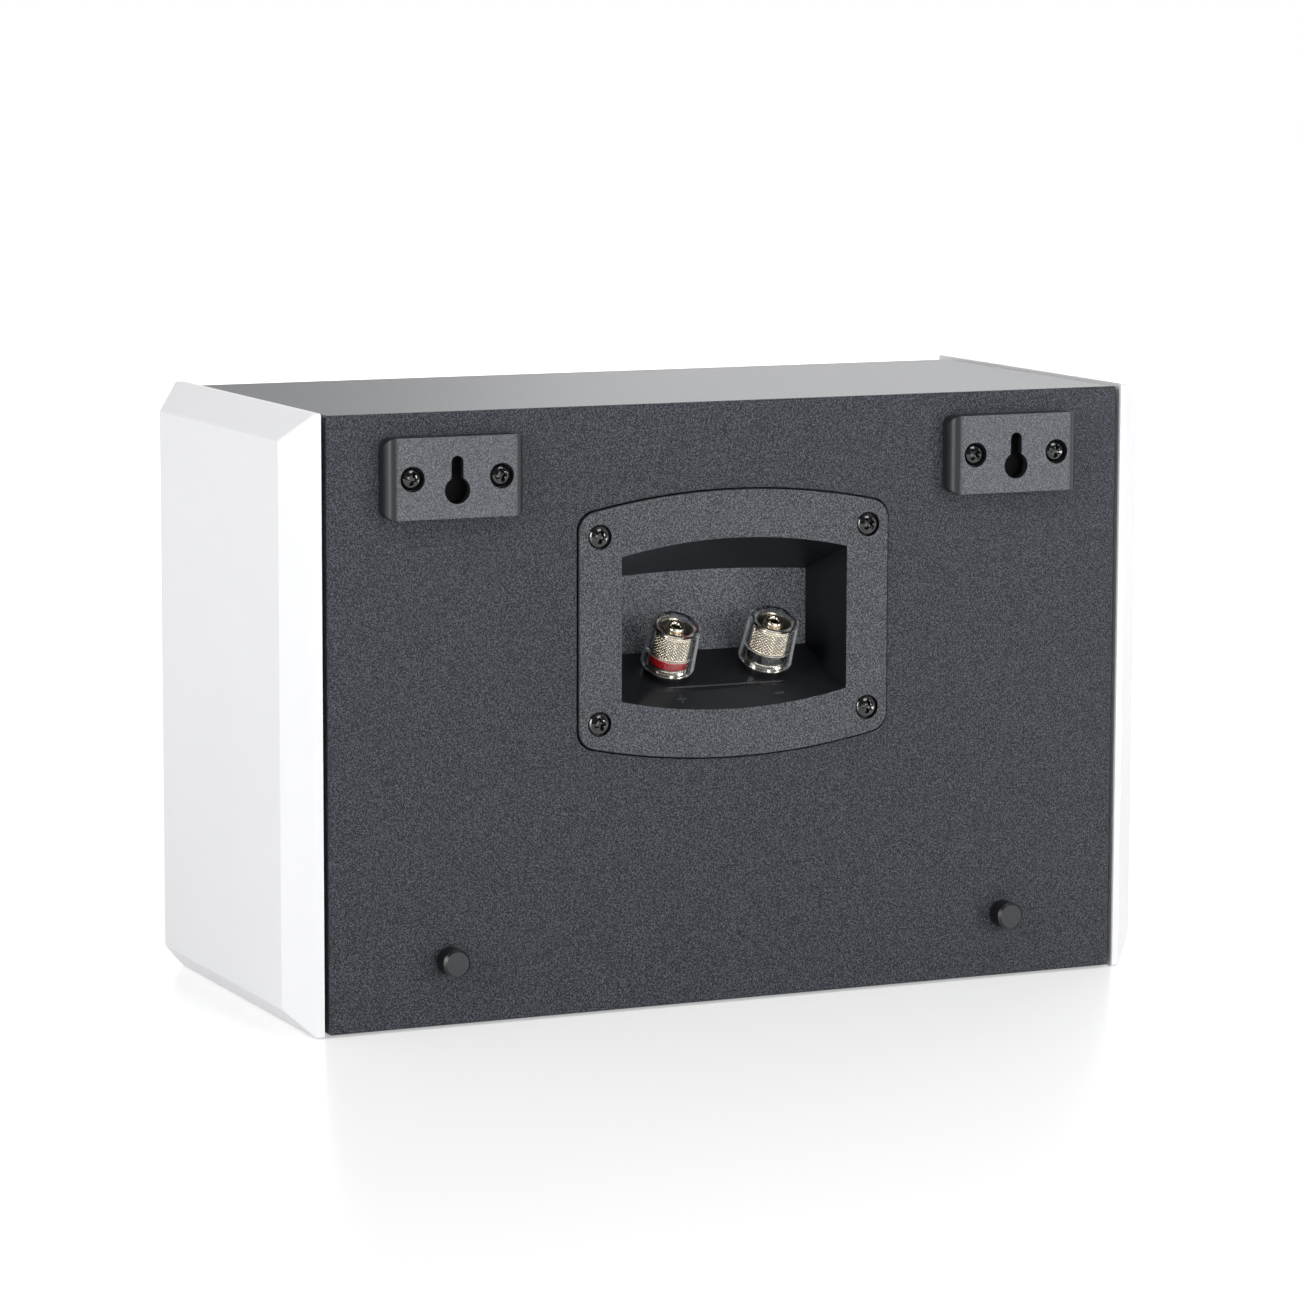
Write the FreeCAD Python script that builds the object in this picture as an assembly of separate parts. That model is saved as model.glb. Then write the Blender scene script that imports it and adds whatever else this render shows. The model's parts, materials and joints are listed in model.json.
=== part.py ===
import FreeCAD, Part
import math
import os

from FreeCAD import Rotation, Vector

# A two-way sealed bookshelf speaker, wider than it is tall, with a bevelled cheek on each side.
# Millimetres. +Z is up, the grille faces -Y, the terminals face +Y.
# The origin lies under the middle of the whole speaker, on the surface it stands on.

# ---- Cabinet ----------------------------------------------------------------------------------
CABINET_WIDTH = 274.6
CABINET_HEIGHT = 192.0
CABINET_DEPTH = 117.0        # back face to baffle face, without the grille
WALL = 12.0                  # top, bottom and sides
BACK_WALL = 12.0
BAFFLE = 16.0
EDGE_ROUND = 0.8

# ---- Cheeks -----------------------------------------------------------------------------------
CHEEK_OVERHANG = 0.7         # above and below the cabinet
GRILLE_ZONE = 10.5           # cheeks in front of the baffle
CHEEK_THICK = 11.0
CHEEK_BEVEL = 8.6            # 45 degree bevel all round the outer face
CHEEK_ROUND = 1.0            # softened edges of the bevel
SHADOW_GAP = 1.7             # between the cabinet's side and a cheek
SPACER_SETBACK = 14.0        # spacer's edge inside the cabinet's edge

# ---- Brace and lining -------------------------------------------------------------------------
BRACE_THICK = 9.0
BRACE_DEPTH = 58.0
BRACE_X = -18.0              # between the two drivers
WOOL_THICK = 14.0
WOOL_MARGIN = 12.0

# ---- Cheek screws -----------------------------------------------------------------------------
CHEEK_SCREW_LENGTH = 20.0
CHEEK_SCREW_INSET = 26.0     # from the cabinet's inner corners

# ---- Terminal cup -----------------------------------------------------------------------------
CUP_HALF_WIDTH = 54.0
CUP_HALF_MID = 42.7          # half height on the centre line
CUP_HALF_END = 36.3          # half height at the ends
CUP_CORNER = 6.5
CUP_RISE = 121.4             # centre above the cabinet's underside
CUP_FLANGE = 3.0
CUP_PROUD = 0.8
CUP_WALL = 2.5
CUP_OUTLINE_GAP = 0.4        # dark line round the flange
CUP_GASKET = 0.8
MOUTH_HALF_WIDTH = 39.3
MOUTH_HALF_MID = 27.3
MOUTH_HALF_END = 22.9
RECESS_DEPTH = 25.0
RECESS_DRAW_IN = 2.4         # each side wall, over the depth
RECESS_CEILING_DROP = 12.9
SHELF_BREAK_DEPTH = 6.0      # the shelf's front edge behind the mouth
SHELF_BREAK_DROP = 21.35     # below the cup's centre
SHELF_RISE = 9.8             # from the front edge to the deep wall
CUP_SCREW_X = 46.8
CUP_SCREW_Z = 29.5

# ---- Binding posts ----------------------------------------------------------------------------
POST_X = 17.2
POST_DEPTH = 15.5
BOSS_HIGH = 1.6              # moulded boss between the shelf and each collar
BOSS_R = 6.6
STUD_R = 3.0
SOCKET_R = 2.0               # 4 mm plug
SOCKET_DEPTH = 20.0
STUD_TOP = 15.4
STUD_TAIL = 12.0
SLEEVE_R = 6.0
SLEEVE_TOP = 15.2
COLLAR_R = SLEEVE_R + 0.9
COLLAR_HIGH = 2.2
WASHER_R = SLEEVE_R + 0.4
WASHER_THICK = 0.8
RING_R = SLEEVE_R + 0.6
RING_HIGH = 3.0
KNURLS = 40
CAP_R_TOP = SLEEVE_R + 2.0
CAP_R_BASE = CAP_R_TOP + 0.7
CAP_FOOT = 1.3
CAP_TOP = 16.5
CAP_FACETS = 12
FACET_CUT = 0.12             # how far each flat lies inside the cap's round
NUT_FLATS = 8.0
NUT_HIGH = 4.0
TAG_THICK = 0.8
TAG_LENGTH = 13.0

# ---- Wall brackets and bumpers ----------------------------------------------------------------
STAND_OFF = 6.5              # brackets and bumpers, off the back
BRACKET_WIDTH = 46.5
BRACKET_HEIGHT = 25.2
BRACKET_CORNER = 3.6
BRACKET_END_ROUND = 4.7      # the face's rounded left and right ends
BRACKET_SEAT = 2.6           # counterbore, deeper than a screw's head
BRACKET_SKIN = 2.5
BRACKET_INSET = 40.3         # bracket's middle from the cabinet's side
BRACKET_DROP = 19.8          # screws below the cabinet's top
BRACKET_SCREW_X = 14.75
KEYHOLE_R = 4.2
KEYHOLE_DROP = 4.0           # round hole below the screws
SLOT_R = 2.0
SLOT_LIFT = 4.7              # slot's end above the screws
POCKET_ROOM = 0.8            # round the wall screw's head, behind the keyhole
BUMPER_R = 4.5
BUMPER_INSET = 40.0          # bumper's middle from the cabinet's side
BUMPER_RISE = 20.6
BUMPER_PIN_R = 2.0
BUMPER_PIN = 5.0

# ---- Screws -----------------------------------------------------------------------------------
PAN_HEAD_R = 3.5
PAN_HEAD_HIGH = 2.4
SHANK_R = 1.75
SCREW_LENGTH = 12.0
COUNTERBORE_R = 4.0
CUP_SEAT = 1.6               # counterbore in the cup's flange
CROSS_WIDTH = 1.0

# ---- Woofer -----------------------------------------------------------------------------------
TAG_Y = 6.0                  # each driver's two tags, off its centre line
WOOFER_INSET = 5.3           # rim's edge from the cabinet's inner side
WOOFER_R = 64.0
WOOFER_FLANGE = 3.5
WOOFER_SCREW_R = WOOFER_R - 5.5
LEDGE_R = WOOFER_R - 14.5    # inner edge of the basket's rim
CONE_R = LEDGE_R - 7.5
CONE_DEPTH = 21.5
CONE_THICK = 0.9
COIL_R = 12.7
COIL_LENGTH = 24.0
SPIDER_R = 34.0
SPIDER_DEPTH = 30.0
BASKET_WALL = 1.2
BASKET_DEPTH = 43.0
MAGNET_R = 38.0
MAGNET_THICK = 15.0
PLATE_THICK = 5.0
GAP_R = 13.7                 # bore of the top plate
DUST_CAP_R = 16.0
DUST_CAP_RISE = 5.0

# ---- Tweeter ----------------------------------------------------------------------------------
TWEETER_INSET = 7.3          # faceplate's edge from the cabinet's inner side
TWEETER_R = 46.0
TWEETER_FLANGE = 3.5
TWEETER_SCREW_R = TWEETER_R - 7.0
TWEETER_BODY_R = 32.0
DOME_R = 12.7
DOME_RISE = 4.6
DOME_THICK = 0.3
TWEETER_MAGNET_R = 28.0
TWEETER_MAGNET_THICK = 10.0
TWEETER_CAN_R = 24.0
TWEETER_CAN_DEPTH = 14.0
CAN_TAG = 7.0

# ---- Grille -----------------------------------------------------------------------------------
GRILLE_SETBACK = 1.0         # cloth behind the cheeks' front edges
GRILLE_SIDE_GAP = 2.0        # frame inside the cabinet's outline
GRILLE_BAR = 22.0
GRILLE_BACK_GAP = 0.3
CLOTH = 0.8
PEG_R = 3.0
PEG_LENGTH = 9.0
PEG_INSET = 8.5              # from the edge of the baffle
SOCKET_WALL = 1.6

# ---- Crossover --------------------------------------------------------------------------------
BOARD_WIDTH = 96.0
BOARD_HEIGHT = 46.0
BOARD_THICK = 1.6
BOARD_RISE = 46.0            # centre above the cabinet's underside
BOARD_STANDOFF = 6.0
WIRE_R = 0.8

# ---- Fits -------------------------------------------------------------------------------------
SLIP = 0.3                   # pieces that pass each other
RUN = 0.06                   # running fit, on the radius
SNUG = 0.05                  # screw or pin in its hole, on the radius

# ---- Places that follow from the sizes --------------------------------------------------------
CHEEK_DEPTH = CABINET_DEPTH + GRILLE_ZONE
CHEEK_HEIGHT = CABINET_HEIGHT + 2 * CHEEK_OVERHANG
BACK_Y = (CHEEK_DEPTH - STAND_OFF) / 2
FRONT_Y = BACK_Y - CHEEK_DEPTH
BAFFLE_Y = BACK_Y - CABINET_DEPTH
PANEL_Y = BACK_Y - BACK_WALL
BAFFLE_BACK_Y = BAFFLE_Y + BAFFLE
HALF_WIDTH = CABINET_WIDTH / 2
UNDERSIDE = CHEEK_OVERHANG
TOP = UNDERSIDE + CABINET_HEIGHT
MIDDLE_Z = UNDERSIDE + CABINET_HEIGHT / 2
INNER_X = HALF_WIDTH - WALL
FLOOR_Z = UNDERSIDE + WALL
CEILING_Z = TOP - WALL
WOOFER_X = INNER_X - WOOFER_INSET - WOOFER_R
TWEETER_X = TWEETER_INSET + TWEETER_R - INNER_X
BRACKET_X = HALF_WIDTH - BRACKET_INSET
BUMPER_X = HALF_WIDTH - BUMPER_INSET
CUP_Z = UNDERSIDE + CUP_RISE
BRACKET_Z = TOP - BRACKET_DROP
BUMPER_Z = UNDERSIDE + BUMPER_RISE
BOARD_Z = UNDERSIDE + BOARD_RISE
SHELF_TILT = math.degrees(math.atan2(SHELF_RISE, RECESS_DEPTH - SHELF_BREAK_DEPTH))
CUP_SCREWS = [(x, CUP_Z + z) for x in (-CUP_SCREW_X, CUP_SCREW_X) for z in (-CUP_SCREW_Z, CUP_SCREW_Z)]
PEG_X = INNER_X - PEG_INSET
PEG_Z = CABINET_HEIGHT / 2 - WALL - PEG_INSET
PEGS = [(x, MIDDLE_Z + z) for x in (-PEG_X, PEG_X) for z in (-PEG_Z, PEG_Z)]
TO_FRONT = Rotation(Vector(1, 0, 0), 90)     # a piece's own +Z turned to -Y
TO_BACK = Rotation(Vector(1, 0, 0), -90)     # a piece's own +Z turned to +Y
TO_POST = Rotation(Vector(1, 0, 0), -SHELF_TILT)
POST_SEAT = CUP_WALL + BOSS_HIGH      # the shelf's thickness where a post goes through it


# ---- Shapes -----------------------------------------------------------------------------------
def block(x, y, z):
    """A block between the low and high value on each axis."""
    return Part.makeBox(x[1] - x[0], y[1] - y[0], z[1] - z[0], Vector(x[0], y[0], z[0]))


def turned(*outline):
    """A solid of revolution about Z, from (radius, height) points."""
    points = [Vector(r, 0, z) for r, z in outline]
    return Part.Face(Part.makePolygon(points + points[:1])).revolve(Vector(), Vector(0, 0, 1), 360)


def tube(outer, inner, low, high):
    """A plain tube along Z."""
    return turned((inner, low), (outer, low), (outer, high), (inner, high))


def rod(radius, low, high):
    """A plain cylinder along Z."""
    return Part.makeCylinder(radius, high - low, Vector(0, 0, low))


def dome(radius, rise, thick):
    """A shallow spherical shell over Z = 0, with its rim at that radius."""
    sphere = (radius ** 2 + rise ** 2) / (2 * rise)
    centre = Vector(0, 0, rise - sphere)
    shell = Part.makeSphere(sphere, centre).cut(Part.makeSphere(sphere - thick, centre))
    return shell.common(rod(radius + thick, 0, rise + thick))


def placed(shape, at, turn=Rotation()):
    """The shape, turned about the origin and then moved."""
    moved = shape.copy()
    moved.Placement = FreeCAD.Placement(at, turn).multiply(shape.Placement)
    return moved


def joined(shapes):
    """Several overlapping or touching shapes as one solid."""
    return shapes[0].fuse(shapes[1:]).removeSplitter()


def without(shape, tools):
    """The shape with every tool cut from it."""
    return shape.cut(Part.makeCompound(tools)) if tools else shape


def around(shape, count):
    """Copies of a shape, evenly spaced about Z and starting half a step round."""
    turns = [Rotation(Vector(0, 0, 1), 360 * (i + 0.5) / count) for i in range(count)]
    return [placed(shape, Vector(), turn) for turn in turns]


def group(shapes):
    """Separate solids that share a node."""
    return Part.makeCompound([solid for shape in shapes for solid in shape.Solids])


def pan_screw(length, head_r=PAN_HEAD_R, head_high=PAN_HEAD_HIGH, shank_r=SHANK_R):
    """A cross-recessed pan head screw. The head stands on Z = 0 and the shank points down."""
    rim = Vector(head_r, 0, head_high * 0.35)
    shoulder = Vector(head_r * 0.86, 0, head_high * 0.8)
    crown = Vector(0, 0, head_high)
    side = Part.makePolygon([Vector(), Vector(head_r, 0, 0), rim])
    curve = Part.Arc(rim, shoulder, crown).toShape()
    face = Part.Face(Part.Wire(side.Edges + [curve, Part.makeLine(crown, Vector())]))
    head = face.revolve(Vector(), Vector(0, 0, 1), 360)
    shank = turned((0, 0), (shank_r, 0), (shank_r, 2 * shank_r - length), (0, -length))
    half, deep = head_r * 0.55, head_high * 0.6
    across = block((-half, half), (-CROSS_WIDTH / 2, CROSS_WIDTH / 2), (head_high - deep, head_high + 1))
    upright = placed(across, Vector(), Rotation(Vector(0, 0, 1), 90))
    return head.fuse(shank).removeSplitter().cut(across).cut(upright)


def screw_hole(length, radius=SHANK_R + SNUG):
    """Room for a screw's shank, below Z = 0."""
    return rod(radius, -length - SNUG, 0)


def many_sided(count, corner_r, z):
    """A regular outline about Z, closed."""
    turns = [2 * math.pi * i / count for i in range(count)]
    corners = [Vector(corner_r * math.cos(turn), corner_r * math.sin(turn), z) for turn in turns]
    return Part.makePolygon(corners + corners[:1])


def arched_wire(y, half_width, mid_up, end_up, mid_down, end_down, z=CUP_Z):
    """A four-sided outline in a plane of constant Y, with an arched or straight top and bottom."""
    left_top, right_top = Vector(-half_width, y, z + end_up), Vector(half_width, y, z + end_up)
    left_low, right_low = Vector(-half_width, y, z - end_down), Vector(half_width, y, z - end_down)

    def edge(start, middle_z, end):
        if abs(middle_z - start.z) < 0.01:
            return Part.makeLine(start, end)
        return Part.Arc(start, Vector(0, y, middle_z), end).toShape()

    top = edge(left_top, z + mid_up, right_top)
    bottom = edge(right_low, z - mid_down, left_low)
    return Part.Wire([top, Part.makeLine(right_top, right_low), bottom, Part.makeLine(left_low, left_top)])


def arched_plate(grow, corner, y):
    """The terminal cup's outline, grown all round, as a plate between two Y values."""
    wire = arched_wire(y[0], CUP_HALF_WIDTH + grow, CUP_HALF_MID + grow, CUP_HALF_END + grow,
                       CUP_HALF_MID + grow, CUP_HALF_END + grow)
    plate = Part.Face(wire).extrude(Vector(0, y[1] - y[0], 0))
    upright = [e for e in plate.Edges if abs(e.tangentAt(e.FirstParameter).y) > 0.99]
    return plate.makeFillet(corner, upright)


def wire_path(points, radius):
    """A round wire along straight runs that are joined by tangent arcs."""
    spots = [Vector(point) for point in points]
    edges, start = [], spots[0]
    for before, corner, after in zip(spots, spots[1:], spots[2:]):
        way_in, way_out = (corner - before).normalize(), (after - corner).normalize()
        half_turn = way_in.getAngle(way_out) / 2
        reach = 0.45 * min(before.distanceToPoint(corner), corner.distanceToPoint(after))
        bend = reach / math.tan(half_turn)
        inward = (way_out - way_in).normalize() * (bend / math.cos(half_turn) - bend)
        arc_start, arc_end = corner - way_in * reach, corner + way_out * reach
        edges += [Part.makeLine(start, arc_start), Part.Arc(arc_start, corner + inward, arc_end).toShape()]
        start = arc_end
    edges.append(Part.makeLine(start, spots[-1]))
    section = Part.Wire(Part.makeCircle(radius, spots[0], spots[1] - spots[0]))
    return Part.Wire(edges).makePipeShell([section], True, False)


# ---- Cabinet and cheeks -----------------------------------------------------------------------
def rounded_along_y(solid):
    """The solid with its four corner edges along Y rounded."""
    corners = [e for e in solid.Edges
               if abs(e.tangentAt(e.FirstParameter).y) > 0.99
               and abs(abs(e.Vertexes[0].X) - HALF_WIDTH) < 0.01
               and min(abs(e.Vertexes[0].Z - UNDERSIDE), abs(e.Vertexes[0].Z - TOP)) < 0.01]
    return solid.makeFillet(EDGE_ROUND, corners)


def cheek_screw_places():
    """Where the cheek screws go, as (y, z)."""
    ys = (BAFFLE_BACK_Y + CHEEK_SCREW_INSET, PANEL_Y - CHEEK_SCREW_INSET)
    return [(y, z) for y in ys for z in (FLOOR_Z + CHEEK_SCREW_INSET, CEILING_Z - CHEEK_SCREW_INSET)]


def on_both_sides(shape):
    """The cheek screw, or its hole, at each of its places on both sides of the cabinet."""
    made = []
    for side in (-1, 1):
        turn = Rotation(Vector(0, 1, 0), -90 * side)
        made += [placed(shape, Vector(side * INNER_X, y, z), turn) for y, z in cheek_screw_places()]
    return made


def cabinet_shell():
    """Top, bottom and sides, open at the front and the back."""
    outer = block((-HALF_WIDTH, HALF_WIDTH), (BAFFLE_Y, PANEL_Y), (UNDERSIDE, TOP))
    inner = block((-INNER_X, INNER_X), (BAFFLE_Y, PANEL_Y), (FLOOR_Z, CEILING_Z))
    return without(rounded_along_y(outer).cut(inner), on_both_sides(screw_hole(CHEEK_SCREW_LENGTH)))


def back_fixings():
    """The screws of the cup and of the brackets: where each head stands."""
    cup_y = BACK_Y + CUP_PROUD - CUP_SEAT
    bracket_y = BACK_Y + STAND_OFF - BRACKET_SEAT
    cup = [Vector(x, cup_y, z) for x, z in CUP_SCREWS]
    brackets = [Vector(side * BRACKET_X + dx, bracket_y, BRACKET_Z)
                for side in (-1, 1) for dx in (-BRACKET_SCREW_X, BRACKET_SCREW_X)]
    return cup, brackets


def bracket_screw_length():
    """Long enough to hold in the back panel without coming through it."""
    return STAND_OFF - BRACKET_SEAT + BACK_WALL - 2


def back_panel():
    """The back, with a rebate and an opening for the cup and blind holes for what is fixed to it."""
    panel = rounded_along_y(block((-HALF_WIDTH, HALF_WIDTH), (PANEL_Y, BACK_Y), (UNDERSIDE, TOP)))
    rim = [e for e in panel.Edges if all(abs(v.Y - BACK_Y) < 0.01 for v in e.Vertexes)]
    panel = panel.makeFillet(EDGE_ROUND, rim)
    rebate_y = BACK_Y + CUP_PROUD - CUP_FLANGE - CUP_GASKET
    rebate = arched_plate(CUP_OUTLINE_GAP, CUP_CORNER, (rebate_y, BACK_Y + 1))
    cup, brackets = back_fixings()
    holes = [placed(screw_hole(SCREW_LENGTH), at, TO_BACK) for at in cup]
    holes += [placed(screw_hole(bracket_screw_length()), at, TO_BACK) for at in brackets]
    holes += [placed(rod(BUMPER_PIN_R + SNUG, -BUMPER_PIN - SNUG, 1), Vector(x, BACK_Y, BUMPER_Z), TO_BACK)
              for x in (-BUMPER_X, BUMPER_X)]
    holes += [placed(rod(SHANK_R + SNUG, -1, SCREW_LENGTH - BOARD_STANDOFF - BOARD_THICK + SNUG),
                     Vector(x, PANEL_Y, z), TO_BACK) for x, z in board_screws()]
    return without(panel, [rebate, cup_outside(SLIP + 0.5, BACK_WALL + 1)] + holes)


def front_baffle():
    """The board that holds both drivers, rebated so that they sit flush."""
    fit = SLIP
    board = block((-INNER_X, INNER_X), (BAFFLE_Y, BAFFLE_BACK_Y), (FLOOR_Z, CEILING_Z))
    cuts = []
    for x, rim, flange, body, screws, count in (
            (WOOFER_X, WOOFER_R, WOOFER_FLANGE, WOOFER_R - 8, WOOFER_SCREW_R, 6),
            (TWEETER_X, TWEETER_R, TWEETER_FLANGE, TWEETER_BODY_R, TWEETER_SCREW_R, 4)):
        at = Vector(x, BAFFLE_Y, MIDDLE_Z)
        cuts += [placed(rod(rim + fit, -flange, 1), at, TO_FRONT),
                 placed(rod(body + fit, -BAFFLE - 1, 1), at, TO_FRONT)]
        hole = placed(rod(SHANK_R + SNUG, -SCREW_LENGTH - SNUG, 0), Vector(screws, 0, 0))
        cuts += [placed(shape, at, TO_FRONT) for shape in around(hole, count)]
    cuts += [placed(rod(PEG_R + SOCKET_WALL + SNUG, -PEG_LENGTH - SOCKET_WALL - SNUG, 1),
                    Vector(x, BAFFLE_Y, z), TO_FRONT) for x, z in PEGS]
    return without(board, cuts)


def cabinet_brace():
    """A stiffening board between the drivers, from floor to ceiling."""
    x = (BRACE_X - BRACE_THICK / 2, BRACE_X + BRACE_THICK / 2)
    board = block(x, (BAFFLE_BACK_Y, BAFFLE_BACK_Y + BRACE_DEPTH), (FLOOR_Z, CEILING_Z))
    window = placed(rod(BRACE_DEPTH / 3, -BRACE_THICK, BRACE_THICK),
                    Vector(BRACE_X, BAFFLE_BACK_Y + BRACE_DEPTH / 2, MIDDLE_Z), Rotation(Vector(0, 1, 0), 90))
    return board.cut(window)


def damping_wool():
    """Two pads of fibre under the ceiling, one on each side of the brace."""
    z = (CEILING_Z - WOOL_THICK, CEILING_Z)
    y = (BAFFLE_BACK_Y + WOOL_MARGIN, PANEL_Y - WOOL_MARGIN)
    half = BRACE_THICK / 2 + SLIP
    return group([block((-INNER_X + WOOL_MARGIN, BRACE_X - half), y, z),
                  block((BRACE_X + half, INNER_X - WOOL_MARGIN), y, z)])


def cheek(side):
    """A side cheek with a 45 degree bevel all round its outer face. side is -1 or +1."""
    inner = HALF_WIDTH + SHADOW_GAP
    flat = CHEEK_THICK - CHEEK_BEVEL

    def outline(x, inset):
        y = (FRONT_Y + inset, BACK_Y - inset)
        z = (inset, CHEEK_HEIGHT - inset)
        corners = [Vector(x, y[i], z[j]) for i, j in ((0, 0), (1, 0), (1, 1), (0, 1))]
        return Part.makePolygon(corners + corners[:1])

    slab = block((inner, inner + flat), (FRONT_Y, BACK_Y), (0, CHEEK_HEIGHT))
    bevelled = Part.makeLoft([outline(inner + flat, 0), outline(inner + CHEEK_THICK, CHEEK_BEVEL)], True, True)
    solid = slab.fuse(bevelled).removeSplitter()
    outer_edges = [e for e in solid.Edges if max(v.X for v in e.Vertexes) > inner + 0.1]
    solid = solid.makeFillet(CHEEK_ROUND, outer_edges)
    if side < 0:
        solid = solid.mirror(Vector(), Vector(1, 0, 0))
    return without(solid, on_both_sides(screw_hole(CHEEK_SCREW_LENGTH)))


def cheek_spacers():
    """Thin boards that hold the cheeks off the cabinet and make the shadow gap."""
    y = (BAFFLE_Y + SPACER_SETBACK, BACK_Y - SPACER_SETBACK)
    z = (UNDERSIDE + SPACER_SETBACK, TOP - SPACER_SETBACK)
    right = block((HALF_WIDTH, HALF_WIDTH + SHADOW_GAP), y, z)
    left = block((-HALF_WIDTH - SHADOW_GAP, -HALF_WIDTH), y, z)
    return without(group([left, right]), on_both_sides(screw_hole(CHEEK_SCREW_LENGTH)))


# ---- Terminal cup -----------------------------------------------------------------------------
def cup_section(depth, thick=0.0):
    """The recess at one depth behind the flange's face, or the cup's outside round it."""
    share = depth / RECESS_DEPTH
    half_width = MOUTH_HALF_WIDTH - RECESS_DRAW_IN * share + thick
    mid_up = MOUTH_HALF_MID - RECESS_CEILING_DROP * share + thick
    end_up = MOUTH_HALF_END - (RECESS_CEILING_DROP - 3) * share + thick
    slope = math.tan(math.radians(SHELF_TILT))
    if depth < SHELF_BREAK_DEPTH:
        mid_down, end_down = MOUTH_HALF_MID + thick, MOUTH_HALF_END + thick
    else:
        down = SHELF_BREAK_DROP - (depth - SHELF_BREAK_DEPTH) * slope
        mid_down = end_down = down + thick / math.cos(math.radians(SHELF_TILT))
    y = BACK_Y + CUP_PROUD - depth
    return arched_wire(y, half_width, mid_up, end_up, mid_down, end_down)


def cup_recess():
    """The hollow that the posts stand in."""
    lip = Part.makeLoft([cup_section(0), cup_section(SHELF_BREAK_DEPTH)], True, True)
    deep = Part.makeLoft([cup_section(SHELF_BREAK_DEPTH), cup_section(RECESS_DEPTH)], True, True)
    return lip.fuse(deep).removeSplitter()


def cup_body():
    """The recess with the cup's wall round it, still solid."""
    thick = CUP_WALL
    sections = [cup_section(0, thick), cup_section(SHELF_BREAK_DEPTH, thick)]
    sections.append(cup_section(RECESS_DEPTH + thick, thick))
    front, back = [Part.makeLoft(pair, True, True) for pair in (sections[:2], sections[1:])]
    return front.fuse(back).removeSplitter()


def cup_outside(gap, depth):
    """Clear room round the cup's body, straight through a board of this depth."""
    grow = CUP_WALL + gap
    wire = arched_wire(BACK_Y - depth, MOUTH_HALF_WIDTH + grow, MOUTH_HALF_MID + grow, MOUTH_HALF_END + grow,
                       MOUTH_HALF_MID + grow, MOUTH_HALF_END + grow)
    return Part.Face(wire).extrude(Vector(0, depth + 2, 0))


def post_foot(side):
    """The point on top of its boss where a post's axis leaves it."""
    rise = (POST_DEPTH - SHELF_BREAK_DEPTH) * math.tan(math.radians(SHELF_TILT))
    on_shelf = Vector(side * POST_X, BACK_Y + CUP_PROUD - POST_DEPTH, CUP_Z - SHELF_BREAK_DROP + rise)
    return on_shelf + TO_POST.multVec(Vector(0, 0, BOSS_HIGH))


def at_posts(shape):
    """The shape on each post's axis."""
    return [placed(shape, post_foot(side), TO_POST) for side in (-1, 1)]


def terminal_cup():
    """The moulded cup: a flush arched flange and a recess with a tilted shelf."""
    face_y = BACK_Y + CUP_PROUD
    flange = arched_plate(0, CUP_CORNER, (face_y - CUP_FLANGE, face_y))
    rim = [e for e in flange.Edges if all(abs(v.Y - face_y) < 0.01 for v in e.Vertexes)]
    flange = flange.makeFillet(CUP_PROUD / 2, rim)
    cup = flange.fuse(cup_body()).cut(cup_recess())
    cup = joined([cup] + at_posts(rod(BOSS_R, -BOSS_HIGH - CUP_WALL / 2, 0)))
    seats = [placed(rod(COUNTERBORE_R, 0, 5), at, TO_BACK) for at in back_fixings()[0]]
    shanks = [placed(screw_hole(SCREW_LENGTH), at, TO_BACK) for at in back_fixings()[0]]
    studs = at_posts(rod(STUD_R + SNUG, -POST_SEAT - 1, 1))
    return without(cup, seats + shanks + studs)


def cup_gasket():
    """A soft ring between the flange and the bottom of its rebate."""
    front = BACK_Y + CUP_PROUD - CUP_FLANGE
    plate = arched_plate(-1.0, CUP_CORNER, (front - CUP_GASKET, front))
    shanks = [placed(screw_hole(SCREW_LENGTH), at, TO_BACK) for at in back_fixings()[0]]
    return without(plate, [cup_outside(SLIP + 0.5, BACK_WALL)] + shanks)


# ---- Binding posts, each on its own axis with Z = 0 on its boss -------------------------------
WASHER_FOOT = COLLAR_HIGH + 0.1
RING_FOOT = WASHER_FOOT + WASHER_THICK + 0.05
SLEEVE_FOOT = RING_FOOT + RING_HIGH


def post_stud():
    """A threaded stud with a 4 mm plug socket down from its top."""
    rim, tail = 0.4, -POST_SEAT - STUD_TAIL
    body = turned((0, tail), (STUD_R - rim, tail), (STUD_R, tail + rim), (STUD_R, STUD_TOP - rim),
                  (STUD_R - rim, STUD_TOP), (0, STUD_TOP))
    return body.cut(rod(SOCKET_R, STUD_TOP - SOCKET_DEPTH, STUD_TOP + 1))


def post_collar():
    """The bright fixed collar at a post's foot."""
    edge = 0.5
    return turned((STUD_R, 0), (COLLAR_R, 0), (COLLAR_R, COLLAR_HIGH - edge), (COLLAR_R - edge, COLLAR_HIGH),
                  (STUD_R, COLLAR_HIGH))


def post_washer():
    """A loose washer that the cap carries down onto the wire."""
    return tube(WASHER_R, STUD_R + RUN, WASHER_FOOT, WASHER_FOOT + WASHER_THICK)


def post_ring():
    """The coloured ring at the foot of the cap."""
    edge = 0.4
    return turned((STUD_R + RUN, RING_FOOT), (RING_R - edge, RING_FOOT), (RING_R, RING_FOOT + edge),
                  (RING_R, SLEEVE_FOOT - edge), (RING_R - edge, SLEEVE_FOOT), (STUD_R + RUN, SLEEVE_FOOT))


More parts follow.
